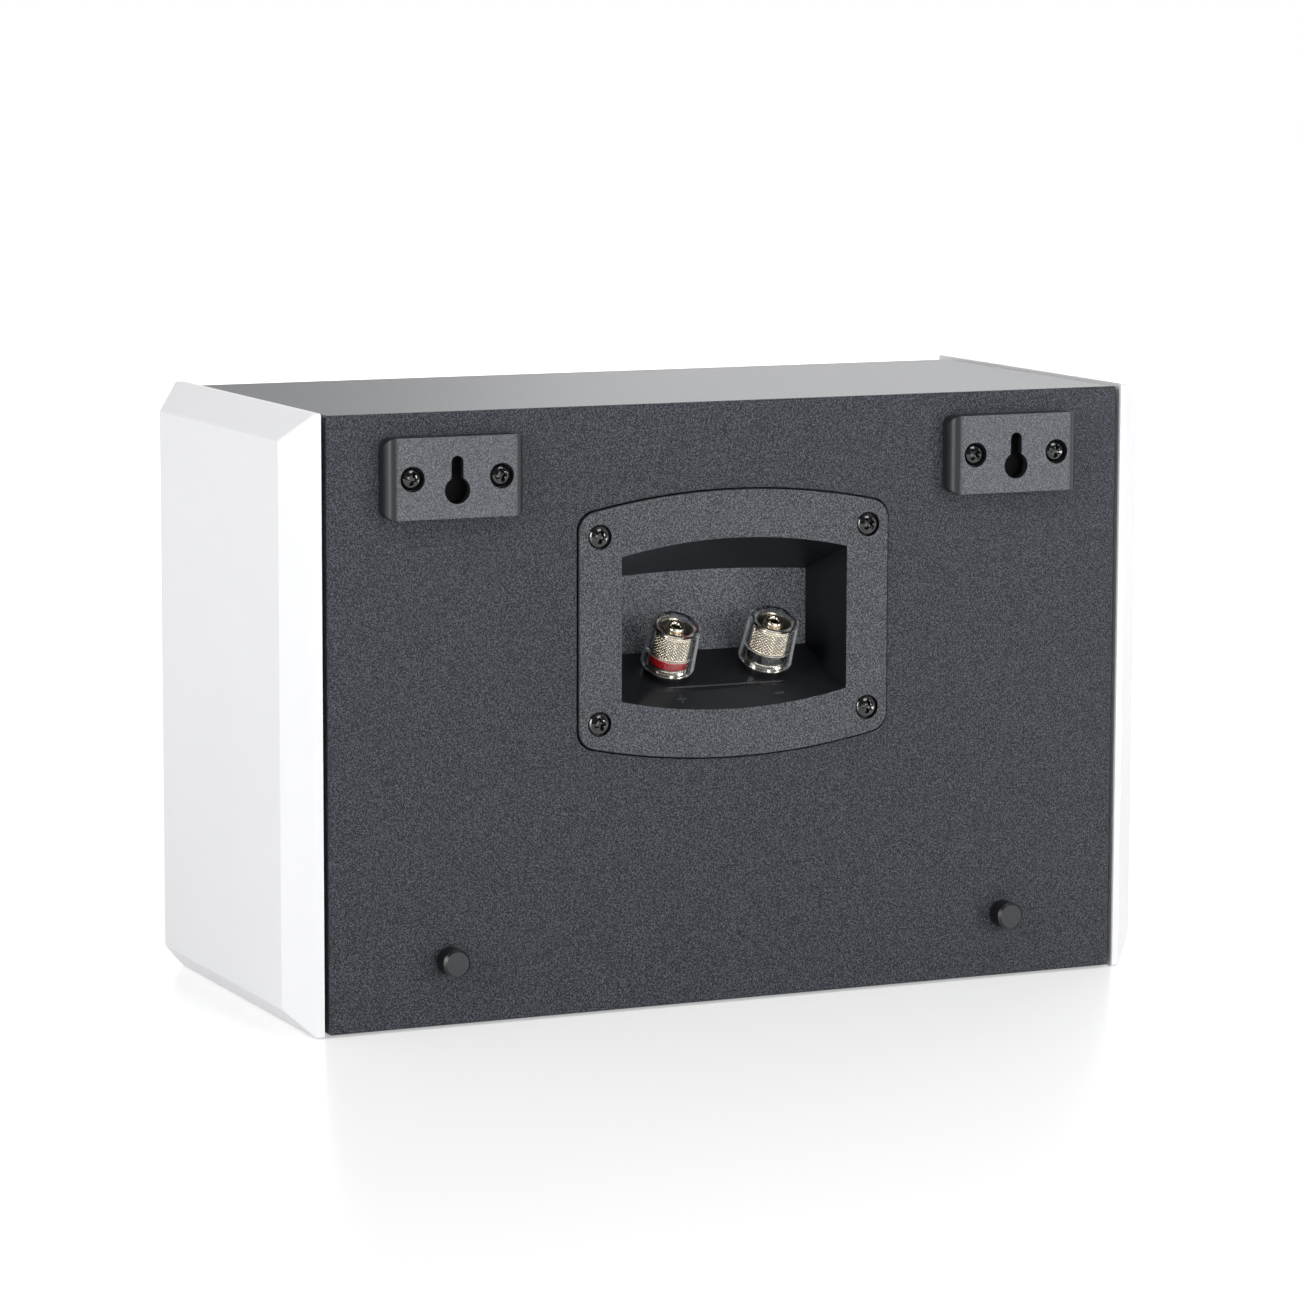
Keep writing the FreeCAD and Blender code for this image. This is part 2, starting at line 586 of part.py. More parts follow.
def post_sleeve():
    """The knurled metal sleeve, with a shallow hollow in its top."""
    top = SLEEVE_TOP
    body = turned((STUD_R + RUN, SLEEVE_FOOT), (SLEEVE_R, SLEEVE_FOOT), (SLEEVE_R, top - 0.4),
                  (SLEEVE_R - 0.4, top), (SLEEVE_R - 0.8, top), (SLEEVE_R - 1.0, top - 0.3),
                  (STUD_R + RUN + 0.5, top - 0.3), (STUD_R + RUN, top - 0.7))
    groove = block((-0.16, 0.16), (-0.16, 0.16), (SLEEVE_FOOT + 0.8, top - 1.6))
    groove = placed(groove, Vector(SLEEVE_R, 0, 0), Rotation(Vector(0, 0, 1), 45))
    return without(body, around(groove, KNURLS))


def post_cap():
    """The clear tapered cap that is turned by hand."""
    bore = SLEEVE_R + SNUG
    skirt = COLLAR_R + SLIP
    step = SLEEVE_FOOT + 0.4
    body = turned((skirt, CAP_FOOT), (CAP_R_BASE - 0.3, CAP_FOOT), (CAP_R_BASE, CAP_FOOT + 0.3),
                  (CAP_R_TOP, CAP_TOP - 0.5), (CAP_R_TOP - 0.5, CAP_TOP), (bore + 0.3, CAP_TOP),
                  (bore, CAP_TOP - 0.3), (bore, step), (skirt, step))
    flats = [many_sided(CAP_FACETS, (radius - FACET_CUT) / math.cos(math.pi / CAP_FACETS), z)
             for radius, z in ((CAP_R_BASE, CAP_FOOT), (CAP_R_TOP, CAP_TOP))]
    return body.common(Part.makeLoft(flats, True, True))


def post_nut():
    """The hexagon nut that holds a stud under the shelf."""
    high = -POST_SEAT - TAG_THICK
    prism = Part.Face(many_sided(6, NUT_FLATS / math.sqrt(3), high)).extrude(Vector(0, 0, -NUT_HIGH))
    return prism.cut(rod(STUD_R, high - NUT_HIGH - 1, high + 1))


def solder_tag():
    """The flat tag under the nut, with a small hole for the wire."""
    z = (-POST_SEAT - TAG_THICK, -POST_SEAT)
    eye = STUD_R + 1.6
    tongue = block((0, TAG_LENGTH), (-1.8, 1.8), z)
    return rod(eye, *z).fuse(tongue).removeSplitter().cut(rod(STUD_R, z[0] - 1, z[1] + 1))


# ---- Wall brackets and bumpers ----------------------------------------------------------------
def keyhole(z):
    """The keyhole's shape between two heights: a round hole and a slot that leads up from it."""
    hole = placed(rod(KEYHOLE_R, *z), Vector(0, -KEYHOLE_DROP, 0))
    slot = block((-SLOT_R, SLOT_R), (-KEYHOLE_DROP, SLOT_LIFT), z)
    end = placed(rod(SLOT_R, *z), Vector(0, SLOT_LIFT, 0))
    return joined([hole, slot, end])


def keyhole_bracket(side):
    """A block that hangs on a wall screw: keyhole in its face and a hollow behind for the screw's head."""
    half_w, half_h = BRACKET_WIDTH / 2, BRACKET_HEIGHT / 2
    body = block((-half_w, half_w), (-half_h, half_h), (0, STAND_OFF))
    ends = body.makeFillet(BRACKET_END_ROUND, [e for e in body.Edges if abs(e.tangentAt(0).y) > 0.99
                                               and e.Vertexes[0].Z > STAND_OFF / 2])
    body = body.makeFillet(BRACKET_CORNER, [e for e in body.Edges if abs(e.tangentAt(0).z) > 0.99])
    body = body.common(ends)
    cuts = [keyhole((-1, STAND_OFF + 1))]
    pocket_r = KEYHOLE_R + POCKET_ROOM
    pocket = [placed(rod(pocket_r, -1, STAND_OFF - BRACKET_SKIN), Vector(0, z, 0))
              for z in (-KEYHOLE_DROP, SLOT_LIFT)]
    pocket.append(block((-pocket_r, pocket_r), (-KEYHOLE_DROP, SLOT_LIFT), (-1, STAND_OFF - BRACKET_SKIN)))
    for x in (-BRACKET_SCREW_X, BRACKET_SCREW_X):
        seat = STAND_OFF - BRACKET_SEAT
        cuts += [placed(rod(COUNTERBORE_R, seat, seat + 5), Vector(x, 0, 0)),
                 placed(rod(SHANK_R + SNUG, -1, STAND_OFF), Vector(x, 0, 0))]
    solid = without(body, cuts + [joined(pocket)])
    upright = Rotation(Vector(1, 0, 0), -90).multiply(Rotation(Vector(0, 0, 1), 180))
    return placed(solid, Vector(side * BRACKET_X, BACK_Y, BRACKET_Z), upright)


def wall_bumper(side):
    """A soft foot that keeps the speaker's lower edge off the wall."""
    edge = 0.8
    body = turned((0, -BUMPER_PIN), (BUMPER_PIN_R, -BUMPER_PIN), (BUMPER_PIN_R, 0), (BUMPER_R, 0),
                  (BUMPER_R, STAND_OFF - edge), (BUMPER_R - edge, STAND_OFF), (0, STAND_OFF))
    return placed(body, Vector(side * BUMPER_X, BACK_Y, BUMPER_Z), TO_BACK)


# ---- Woofer, on its own axis with Z = 0 on the baffle's face and +Z to the front --------------
RIM_SEAT = -2.0              # where the surround is glued on the basket's ledge
SURROUND_THICK = 0.7
MAGNET_TOP = -BASKET_DEPTH - BASKET_WALL - PLATE_THICK
MAGNET_LOW = MAGNET_TOP - MAGNET_THICK


def woofer_basket():
    """The pressed frame: rim, ledge, windowed cone, spider seat and magnet seat."""
    t = BASKET_WALL
    waist, foot = SPIDER_R + 8, SPIDER_R + 2
    shell = turned((LEDGE_R, RIM_SEAT - t), (LEDGE_R, RIM_SEAT), (LEDGE_R + 4.5, RIM_SEAT), (LEDGE_R + 4.5, 0),
                   (WOOFER_R, 0), (WOOFER_R, -WOOFER_FLANGE), (WOOFER_R - 9, -WOOFER_FLANGE),
                   (waist + t, -SPIDER_DEPTH - 2.0), (foot + t, -SPIDER_DEPTH - 2.0),
                   (foot + t, -BASKET_DEPTH - t), (GAP_R + 4, -BASKET_DEPTH - t), (GAP_R + 4, -BASKET_DEPTH),
                   (foot, -BASKET_DEPTH), (foot, -SPIDER_DEPTH - 2.0 + t), (SPIDER_R - 2, -SPIDER_DEPTH - 2.0 + t),
                   (SPIDER_R - 2, -SPIDER_DEPTH - 2.0 + 2 * t), (waist, -SPIDER_DEPTH - 2.0 + 2 * t),
                   (WOOFER_R - 9 - t, RIM_SEAT - t - 2))
    window = block((SPIDER_R, WOOFER_R), (-9, 9), (-SPIDER_DEPTH + 3, -WOOFER_FLANGE - 4))
    cuts = around(window, 6)
    cuts += around(placed(rod(SHANK_R + SLIP, -WOOFER_FLANGE - 1, 1), Vector(WOOFER_SCREW_R, 0, 0)), 6)
    return without(shell, cuts)


def woofer_surround():
    """The half-round rubber roll between the cone and the rim."""
    roll = (LEDGE_R - CONE_R) / 2
    middle = CONE_R + roll
    z = RIM_SEAT + SURROUND_THICK
    t = SURROUND_THICK
    ring = Part.makeTorus(middle, roll).cut(Part.makeTorus(middle, roll - t))
    ring = placed(ring, Vector(0, 0, RIM_SEAT)).common(tube(LEDGE_R + 1, CONE_R - 1, RIM_SEAT, z + roll))
    outer_lip = tube(LEDGE_R + 4.0, LEDGE_R - t, RIM_SEAT, z)
    inner_lip = tube(CONE_R + t, CONE_R - 3, RIM_SEAT, z)
    return joined([ring, outer_lip, inner_lip])


def woofer_cone():
    """The cone, from the surround's inner lip down to the coil."""
    top, low, t = RIM_SEAT, RIM_SEAT - CONE_DEPTH, CONE_THICK
    neck = COIL_R + 0.5
    return turned((neck, low), (neck, low - t), (neck + t, low - t), (CONE_R, top - t), (CONE_R, top),
                  (CONE_R - 3, top), (CONE_R - 3.4, top - t))


def woofer_dust_cap():
    """The domed cap over the coil, seated on the cone."""
    flare = (CONE_R - COIL_R) / CONE_DEPTH
    height = RIM_SEAT - CONE_DEPTH + (DUST_CAP_R - COIL_R) / flare + 0.6
    return placed(dome(DUST_CAP_R, DUST_CAP_RISE, 0.5), Vector(0, 0, height))


def woofer_voice_coil():
    """The coil former and its winding, hung from the cone's neck."""
    top = RIM_SEAT - CONE_DEPTH - CONE_THICK
    former = tube(COIL_R + 0.5, COIL_R, top - COIL_LENGTH, top + CONE_THICK)
    winding = tube(COIL_R + 0.8, COIL_R + 0.4, top - COIL_LENGTH, top - COIL_LENGTH + 9)
    return joined([former, winding])


def woofer_spider():
    """The corrugated disc that centres the coil."""
    steps, t = 6, 0.6
    start, z = COIL_R + 0.5 + SNUG, -SPIDER_DEPTH - 2.0 + 2 * BASKET_WALL
    pitch = (SPIDER_R + 2 - start) / (2 * steps)
    line = [(start + i * pitch, z + (1.2 if i % 2 else 0.0)) for i in range(2 * steps + 1)]
    return turned(*(line + [(r, h + t) for r, h in reversed(line)]))


def woofer_gasket():
    """The trim ring that covers the surround's glued lip."""
    low = RIM_SEAT + SURROUND_THICK
    return tube(LEDGE_R + 4.3, LEDGE_R + 0.6, low, 0.3)


def woofer_top_plate():
    """The front plate of the magnet system."""
    return tube(MAGNET_R - 1, GAP_R, MAGNET_TOP, MAGNET_TOP + PLATE_THICK)


def woofer_magnet():
    """The ferrite ring."""
    return tube(MAGNET_R, GAP_R + 8, MAGNET_LOW, MAGNET_TOP)


def woofer_pole_plate():
    """The back plate with its vented pole."""
    pole_r = COIL_R - 0.5
    back = MAGNET_LOW - PLATE_THICK
    return turned((4, back), (MAGNET_R - 1, back), (MAGNET_R - 1, MAGNET_LOW), (pole_r, MAGNET_LOW),
                  (pole_r, MAGNET_TOP + PLATE_THICK), (4, MAGNET_TOP + PLATE_THICK))


def woofer_terminals():
    """The tag strip on the basket's shoulder."""
    z = -SPIDER_DEPTH - 2.0
    r = SPIDER_R + 2 + BASKET_WALL
    strip = block((-r - 6, -r), (-9, 9), (z - 2, z))
    tags = [block((-r - 13, -r - 5), (y - 1.5, y + 1.5), (z - 2.8, z - 2)) for y in (-TAG_Y, TAG_Y)]
    return joined([strip] + tags)


def driver_screws(circle, count):
    """Flange screws on a circle, with their heads on the flange."""
    one = placed(pan_screw(SCREW_LENGTH, head_r=3.2, head_high=2.0), Vector(circle, 0, 0))
    return around(one, count)


# ---- Tweeter, on its own axis like the woofer -------------------------------------------------
def tweeter_faceplate():
    """The front plate with a shallow flare round the dome."""
    t = TWEETER_FLANGE
    throat = DOME_R + 3
    plate = turned((throat, -t), (TWEETER_BODY_R - SLIP, -t), (TWEETER_R, -t), (TWEETER_R, -0.5),
                   (TWEETER_R - 0.5, 0), (throat + 9, 0), (throat, -t + 1))
    holes = placed(rod(SHANK_R + SLIP, -t - 1, 1), Vector(TWEETER_SCREW_R, 0, 0))
    return without(plate, around(holes, 4))


def tweeter_dome():
    """The soft dome and its coil former."""
    z = -TWEETER_FLANGE
    former = tube(DOME_R + 0.1, DOME_R - 0.2, z - 5, z + 0.3)
    return joined([placed(dome(DOME_R, DOME_RISE, DOME_THICK), Vector(0, 0, z)), former])


def tweeter_surround():
    """The small roll round the dome, glued between the faceplate and the chamber."""
    z, inner, outer = -TWEETER_FLANGE, DOME_R + 0.1 + SNUG, DOME_R + 5.0
    return turned((inner, z - 0.3), (outer, z - 0.3), (outer, z), (inner + 1.9, z), (inner + 1.2, z + 0.8),
                  (inner + 0.5, z + 0.3), (inner, z + 0.3))


def tweeter_top_plate():
    """The top plate and its spacer, screwed to the faceplate."""
    high = -TWEETER_FLANGE - 0.3
    return turned((DOME_R + 0.6, high - 3.6), (TWEETER_MAGNET_R, high - 3.6), (TWEETER_MAGNET_R, high),
                  (DOME_R + 2.5, high), (DOME_R + 2.5, high - 0.6), (DOME_R + 0.6, high - 0.6))


TWEETER_MAGNET_TOP = -TWEETER_FLANGE - 3.9


def tweeter_magnet():
    """The ferrite ring and back plate of the tweeter."""
    top = TWEETER_MAGNET_TOP
    return tube(TWEETER_MAGNET_R + 1, DOME_R + 5, top - TWEETER_MAGNET_THICK, top)


def tweeter_pole_plate():
    """Back plate and pole."""
    low = TWEETER_MAGNET_TOP - TWEETER_MAGNET_THICK
    pole_r = DOME_R - 0.6
    return turned((3, low - 3), (TWEETER_MAGNET_R, low - 3), (TWEETER_MAGNET_R, low), (pole_r, low),
                  (pole_r, -TWEETER_FLANGE - 0.9), (3, -TWEETER_FLANGE - 0.9))


def tweeter_can():
    """The damped rear chamber, with two tags on its back."""
    top = TWEETER_MAGNET_TOP - TWEETER_MAGNET_THICK - 3
    low = top - TWEETER_CAN_DEPTH
    can = turned((0, low), (TWEETER_CAN_R, low), (TWEETER_CAN_R, top), (TWEETER_CAN_R - 2, top),
                 (TWEETER_CAN_R - 2, low + 2), (0, low + 2))
    tags = [block((-1.5, 1.5), (y - 0.8, y + 0.8), (low - CAN_TAG, low)) for y in (-TAG_Y, TAG_Y)]
    return joined([can] + tags)


# ---- Grille -----------------------------------------------------------------------------------
def grille_frame():
    """A flat frame with a bar between the drivers."""
    half_w, half_h = HALF_WIDTH - GRILLE_SIDE_GAP, CABINET_HEIGHT / 2 - GRILLE_SIDE_GAP
    y = (FRONT_Y + GRILLE_SETBACK + CLOTH, BAFFLE_Y - GRILLE_BACK_GAP)
    frame = block((-half_w, half_w), y, (MIDDLE_Z - half_h, MIDDLE_Z + half_h))
    bar = GRILLE_BAR
    windows = [block((-half_w + bar, BRACE_X - 5), y, (MIDDLE_Z - half_h + bar, MIDDLE_Z + half_h - bar)),
               block((BRACE_X + 5, half_w - bar), y, (MIDDLE_Z - half_h + bar, MIDDLE_Z + half_h - bar))]
    return without(frame, windows)


def grille_cloth():
    """Cloth stretched over the frame's front and sides."""
    half_w, half_h = HALF_WIDTH - GRILLE_SIDE_GAP, CABINET_HEIGHT / 2 - GRILLE_SIDE_GAP
    front = FRONT_Y + GRILLE_SETBACK
    outer = block((-half_w - CLOTH, half_w + CLOTH), (front, BAFFLE_Y - GRILLE_BACK_GAP),
                  (MIDDLE_Z - half_h - CLOTH, MIDDLE_Z + half_h + CLOTH))
    inner = block((-half_w, half_w), (front + CLOTH, BAFFLE_Y + 1), (MIDDLE_Z - half_h, MIDDLE_Z + half_h))
    return outer.cut(inner)


def grille_peg(x, z):
    """A peg on the back of the grille frame."""
    tip = 0.8
    body = turned((0, -PEG_LENGTH), (PEG_R - tip, -PEG_LENGTH), (PEG_R, -PEG_LENGTH + tip), (PEG_R, GRILLE_BACK_GAP),
                  (0, GRILLE_BACK_GAP))
    return placed(body, Vector(x, BAFFLE_Y, z), TO_FRONT)


def grille_socket(x, z):
    """A cup in the baffle that grips a peg."""
    outer, bore = PEG_R + SOCKET_WALL, PEG_R + RUN
    body = turned((0, -PEG_LENGTH - SOCKET_WALL), (outer, -PEG_LENGTH - SOCKET_WALL), (outer, 0), (bore, 0),
                  (bore, -PEG_LENGTH - RUN), (0, -PEG_LENGTH - RUN))
    return placed(body, Vector(x, BAFFLE_Y, z), TO_FRONT)


# ---- Crossover --------------------------------------------------------------------------------
BOARD_Y = PANEL_Y - BOARD_STANDOFF
PARTS_Y = BOARD_Y - BOARD_THICK


def board_screws():
    """Where the board's screws go, as (x, z)."""
    half_w, half_h = BOARD_WIDTH / 2 - 4, BOARD_HEIGHT / 2 - 4
    return [(x, BOARD_Z + z) for x in (-half_w, half_w) for z in (-half_h, half_h)]


def crossover_board():
    """The circuit board, flat against its standoffs."""
    board = block((-BOARD_WIDTH / 2, BOARD_WIDTH / 2), (PARTS_Y, BOARD_Y),
                  (BOARD_Z - BOARD_HEIGHT / 2, BOARD_Z + BOARD_HEIGHT / 2))
    return without(board, [placed(rod(SHANK_R + SNUG, -5, 5), Vector(x, BOARD_Y, z), TO_BACK)
                           for x, z in board_screws()])


def board_standoffs():
    """Sleeves between the board and the back panel."""
    one = tube(3.5, SHANK_R + SNUG, 0, BOARD_STANDOFF)
    return [placed(one, Vector(x, BOARD_Y, z), TO_BACK) for x, z in board_screws()]


def board_fixings():
    """Screws that pass the board and its standoffs into the back panel."""
    one = pan_screw(SCREW_LENGTH, head_r=3.0, head_high=1.8)
    return [placed(one, Vector(x, PARTS_Y, z), TO_FRONT) for x, z in board_screws()]


def inductors():
    """Two air-cored coils that stand on the board."""
    coils = []
    for x, outer, high in ((-24, 15.0, 15.0), (12, 11.0, 12.0)):
        bobbin = tube(outer, 5, 0, high).cut(tube(outer + 1, outer - 1.2, 1.5, high - 1.5))
        winding = tube(outer - 1.2, outer - 2.5, 1.5, high - 1.5)
        coils.append(placed(joined([bobbin, winding]), Vector(x, PARTS_Y, BOARD_Z), TO_FRONT))
    return coils


def capacitors():
    """Two film capacitors that lie on the board."""
    made = []
    for z, radius, long in ((-10, 6.0, 24.0), (8, 5.0, 20.0)):
        can = rod(radius, -long / 2, long / 2)
        can = can.makeFillet(0.8, can.Edges[:1] + can.Edges[2:])
        made.append(placed(can, Vector(34, PARTS_Y - radius, BOARD_Z + z), Rotation(Vector(0, 1, 0), 90)))
    return made


def resistor():
    """A ceramic power resistor along the board's lower edge."""
    return block((-6, 18), (PARTS_Y - 9, PARTS_Y), (BOARD_Z - 21, BOARD_Z - 13))


def post_wires():
    """From under each solder tag down to the board's upper edge."""
    tilt = FreeCAD.Placement(Vector(), TO_POST)
    under_tag = tilt.multVec(Vector(TAG_LENGTH - 2, 0, -POST_SEAT - TAG_THICK))
    drop = tilt.multVec(Vector(0, 0, -7))
    runs = []
    for side in (-1, 1):
        tag = post_foot(side) + under_tag
        end = Vector(tag.x - 4 * side, PARTS_Y, BOARD_Z + BOARD_HEIGHT / 2 - 4)
        runs.append(wire_path([tag, tag + drop, end + Vector(2.3 * side, -11, 18), end + Vector(0.3 * side, -15, 8),
                               end + Vector(0, -10.5, 0), end], WIRE_R))
    return runs


def woofer_wires():
    """From the woofer's tags down and back to the board's lower edge."""
    tag_x = WOOFER_X - SPIDER_R - 2 - BASKET_WALL - 11
    tag_y = BAFFLE_Y + SPIDER_DEPTH + 2.0 + 2.8
    runs = []
    for side in (-1, 1):
        start = Vector(tag_x, tag_y, MIDDLE_Z + side * TAG_Y)
        end = Vector(28 + side * 4, PARTS_Y, BOARD_Z - 20)
        runs.append(wire_path([start, start + Vector(0, 12, 0), start + Vector(side, 25, -14 - side),
                               start + Vector(4 + side, 35, -34 - 2 * side), end + Vector(-8, -21, 14 + side),
                               end + Vector(0, -11, 0), end], WIRE_R))
    return runs


def tweeter_wires():
    """From the tweeter's tags down and back to the board's end."""
    tag_y = BAFFLE_Y - TWEETER_MAGNET_TOP + TWEETER_MAGNET_THICK + 3 + TWEETER_CAN_DEPTH + CAN_TAG
    runs = []
    for side in (-1, 1):
        start = Vector(TWEETER_X, tag_y, MIDDLE_Z + side * TAG_Y)
        end = Vector(-BOARD_WIDTH / 2 + 3, PARTS_Y, BOARD_Z + side * TAG_Y)
        runs.append(wire_path([start, start + Vector(0, 12, 0), start + Vector(3, 24, -13),
                               end + Vector(-14, -20, 14), end + Vector(0, -11, 0), end], WIRE_R))
    return runs


# ---- The whole speaker ------------------------------------------------------------------------
def in_baffle(x, shapes):
    """Pieces of the driver whose axis is at this X, moved from their own axis into the baffle."""
    return [placed(shape, Vector(x, BAFFLE_Y, MIDDLE_Z), TO_FRONT) for shape in shapes]


def cabinet_nodes():
    """The box, its lining and the cheeks."""
    screw = pan_screw(CHEEK_SCREW_LENGTH)
    return {
        "cabinet_shell": [cabinet_shell()],
        "back_panel": [back_panel()],
        "front_baffle": [front_baffle()],
        "cabinet_brace": [cabinet_brace()],
        "damping_wool": [damping_wool()],
        "left_cheek": [cheek(-1)],
        "right_cheek": [cheek(1)],
        "cheek_spacers": [cheek_spacers()],
        "cheek_screws": on_both_sides(screw),
    }


def back_nodes():
    """What is fixed to the back, apart from the posts."""
    cup, brackets = back_fixings()
    return {
        "terminal_cup": [terminal_cup()],
        "cup_gasket": [cup_gasket()],
        "cup_screws": [placed(pan_screw(SCREW_LENGTH), at, TO_BACK) for at in cup],
        "left_keyhole_bracket": [keyhole_bracket(-1)],
        "right_keyhole_bracket": [keyhole_bracket(1)],
        "bracket_screws": [placed(pan_screw(bracket_screw_length()), at, TO_BACK) for at in brackets],
        "wall_bumpers": [wall_bumper(-1), wall_bumper(1)],
    }


def post_nodes():
    """Both binding posts: red on the +X side, black on the -X side."""
    nodes = {
        "post_studs": at_posts(post_stud()),
        "post_collars": at_posts(post_collar()),
        "post_nuts": at_posts(post_nut()),
        "solder_tags": at_posts(solder_tag()),
    }
    for name, make in (("washer", post_washer), ("ring", post_ring), ("sleeve", post_sleeve), ("cap", post_cap)):
        black, red = at_posts(make())
        nodes["black_post_" + name] = [black]
        nodes["red_post_" + name] = [red]
    return nodes


def woofer_nodes():
    """The woofer, piece by piece."""
    made = {
        "woofer_basket": [woofer_basket()],
        "woofer_surround": [woofer_surround()],
        "woofer_cone": [woofer_cone()],
        "woofer_dust_cap": [woofer_dust_cap()],
        "woofer_voice_coil": [woofer_voice_coil()],
        "woofer_spider": [woofer_spider()],
        "woofer_gasket": [woofer_gasket()],
        "woofer_top_plate": [woofer_top_plate()],
        "woofer_magnet": [woofer_magnet()],
        "woofer_pole_plate": [woofer_pole_plate()],
        "woofer_terminals": [woofer_terminals()],
    }
    return {name: in_baffle(WOOFER_X, shapes) for name, shapes in made.items()}


def tweeter_nodes():
    """The tweeter, piece by piece."""
    made = {
        "tweeter_faceplate": [tweeter_faceplate()],
        "tweeter_dome": [tweeter_dome()],
        "tweeter_surround": [tweeter_surround()],
        "tweeter_top_plate": [tweeter_top_plate()],
        "tweeter_magnet": [tweeter_magnet()],
        "tweeter_pole_plate": [tweeter_pole_plate()],
        "tweeter_can": [tweeter_can()],
    }
    return {name: in_baffle(TWEETER_X, shapes) for name, shapes in made.items()}


def driver_nodes():
    """Both drivers and the screws they share."""
    nodes = {**woofer_nodes(), **tweeter_nodes()}
    nodes["driver_screws"] = (in_baffle(WOOFER_X, driver_screws(WOOFER_SCREW_R, 6))
                              + in_baffle(TWEETER_X, driver_screws(TWEETER_SCREW_R, 4)))
    return nodes


def grille_nodes():
    """The grille and what holds it."""
    return {
        "grille_frame": [grille_frame()],
        "grille_cloth": [grille_cloth()],
        "grille_pegs": [grille_peg(x, z) for x, z in PEGS],
        "grille_sockets": [grille_socket(x, z) for x, z in PEGS],
    }


def crossover_nodes():
    """The crossover and the wires that join it to the posts and the drivers."""
    return {
        "crossover_board": [crossover_board()],
        "board_standoffs": board_standoffs(),
        "board_screws": board_fixings(),
        "inductors": inductors(),
        "capacitors": capacitors(),
        "resistor": [resistor()],
        "post_wires": post_wires(),
        "woofer_wires": woofer_wires(),
        "tweeter_wires": tweeter_wires(),
    }


def main():
    """Write every node to parts/."""
    os.makedirs("parts", exist_ok=True)
    nodes = {}
    for make in (cabinet_nodes, back_nodes, post_nodes, driver_nodes, grille_nodes, crossover_nodes):
        nodes.update(make())
    for name, shapes in nodes.items():
        solids = [solid for shape in shapes for solid in shape.Solids]
        shape = solids[0] if len(solids) == 1 else Part.makeCompound(solids)
        if not shape.isValid():
            raise ValueError(name + " is not a valid shape")
        shape.exportStep("parts/" + name + ".step")
        box = shape.BoundBox
        print(f"{name:24s} {len(solids)} solids {shape.Volume:10.0f} mm3 "
              f"x {box.XMin:7.1f} {box.XMax:7.1f} y {box.YMin:6.1f} {box.YMax:6.1f} z {box.ZMin:6.1f} {box.ZMax:6.1f}")


main()
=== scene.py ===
"""Looks of a small bookshelf speaker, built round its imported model."""

import json
import math
import random

import bmesh
import bpy
from bpy.props import FloatProperty, FloatVectorProperty, IntProperty, PointerProperty
from mathutils import Matrix, Vector
from mathutils.bvhtree import BVHTree


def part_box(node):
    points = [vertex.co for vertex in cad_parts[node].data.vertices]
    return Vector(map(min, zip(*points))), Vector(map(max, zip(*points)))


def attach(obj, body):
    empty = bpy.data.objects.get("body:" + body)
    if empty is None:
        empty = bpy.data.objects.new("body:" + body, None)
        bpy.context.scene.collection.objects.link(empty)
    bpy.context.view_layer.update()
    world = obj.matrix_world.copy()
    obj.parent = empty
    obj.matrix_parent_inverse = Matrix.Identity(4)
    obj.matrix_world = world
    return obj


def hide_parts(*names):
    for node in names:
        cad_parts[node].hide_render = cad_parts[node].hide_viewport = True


bl_info = {
    "name": "Bookshelf Speaker",
    "version": (1, 0, 0),
    "blender": (4, 5, 0),
    "location": "View3D > Sidebar > Speaker",
    "description": "Builds the finishes and fine pieces of a bookshelf speaker round its model",
    "category": "Object",
}

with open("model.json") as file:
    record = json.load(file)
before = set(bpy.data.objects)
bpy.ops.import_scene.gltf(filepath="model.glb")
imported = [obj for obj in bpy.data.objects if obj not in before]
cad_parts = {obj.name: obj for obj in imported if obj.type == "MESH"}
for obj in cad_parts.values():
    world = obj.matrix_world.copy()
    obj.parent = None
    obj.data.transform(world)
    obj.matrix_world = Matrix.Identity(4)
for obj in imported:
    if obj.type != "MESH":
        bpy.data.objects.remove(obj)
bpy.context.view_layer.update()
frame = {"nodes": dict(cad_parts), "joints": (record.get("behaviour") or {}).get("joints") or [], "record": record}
NODES = frame["nodes"]
MM = 0.001
CABINET = "cabinet"
GRAIN = 0.43 * MM            # features of the vinyl's and the plastic's grain
THREAD_PITCH = 1.5 * MM      # of the grille cloth's weave
# Painted light: the cup's deep wall, this far below the face, gets grain of twice the colour, as if lit more.
PAINTED_LIGHT_DEPTH = 20 * MM     # deeper than this from the cup's face, its grain is paler
STUD_REACH = 4 * MM          # a stud's points lie this near to its axis


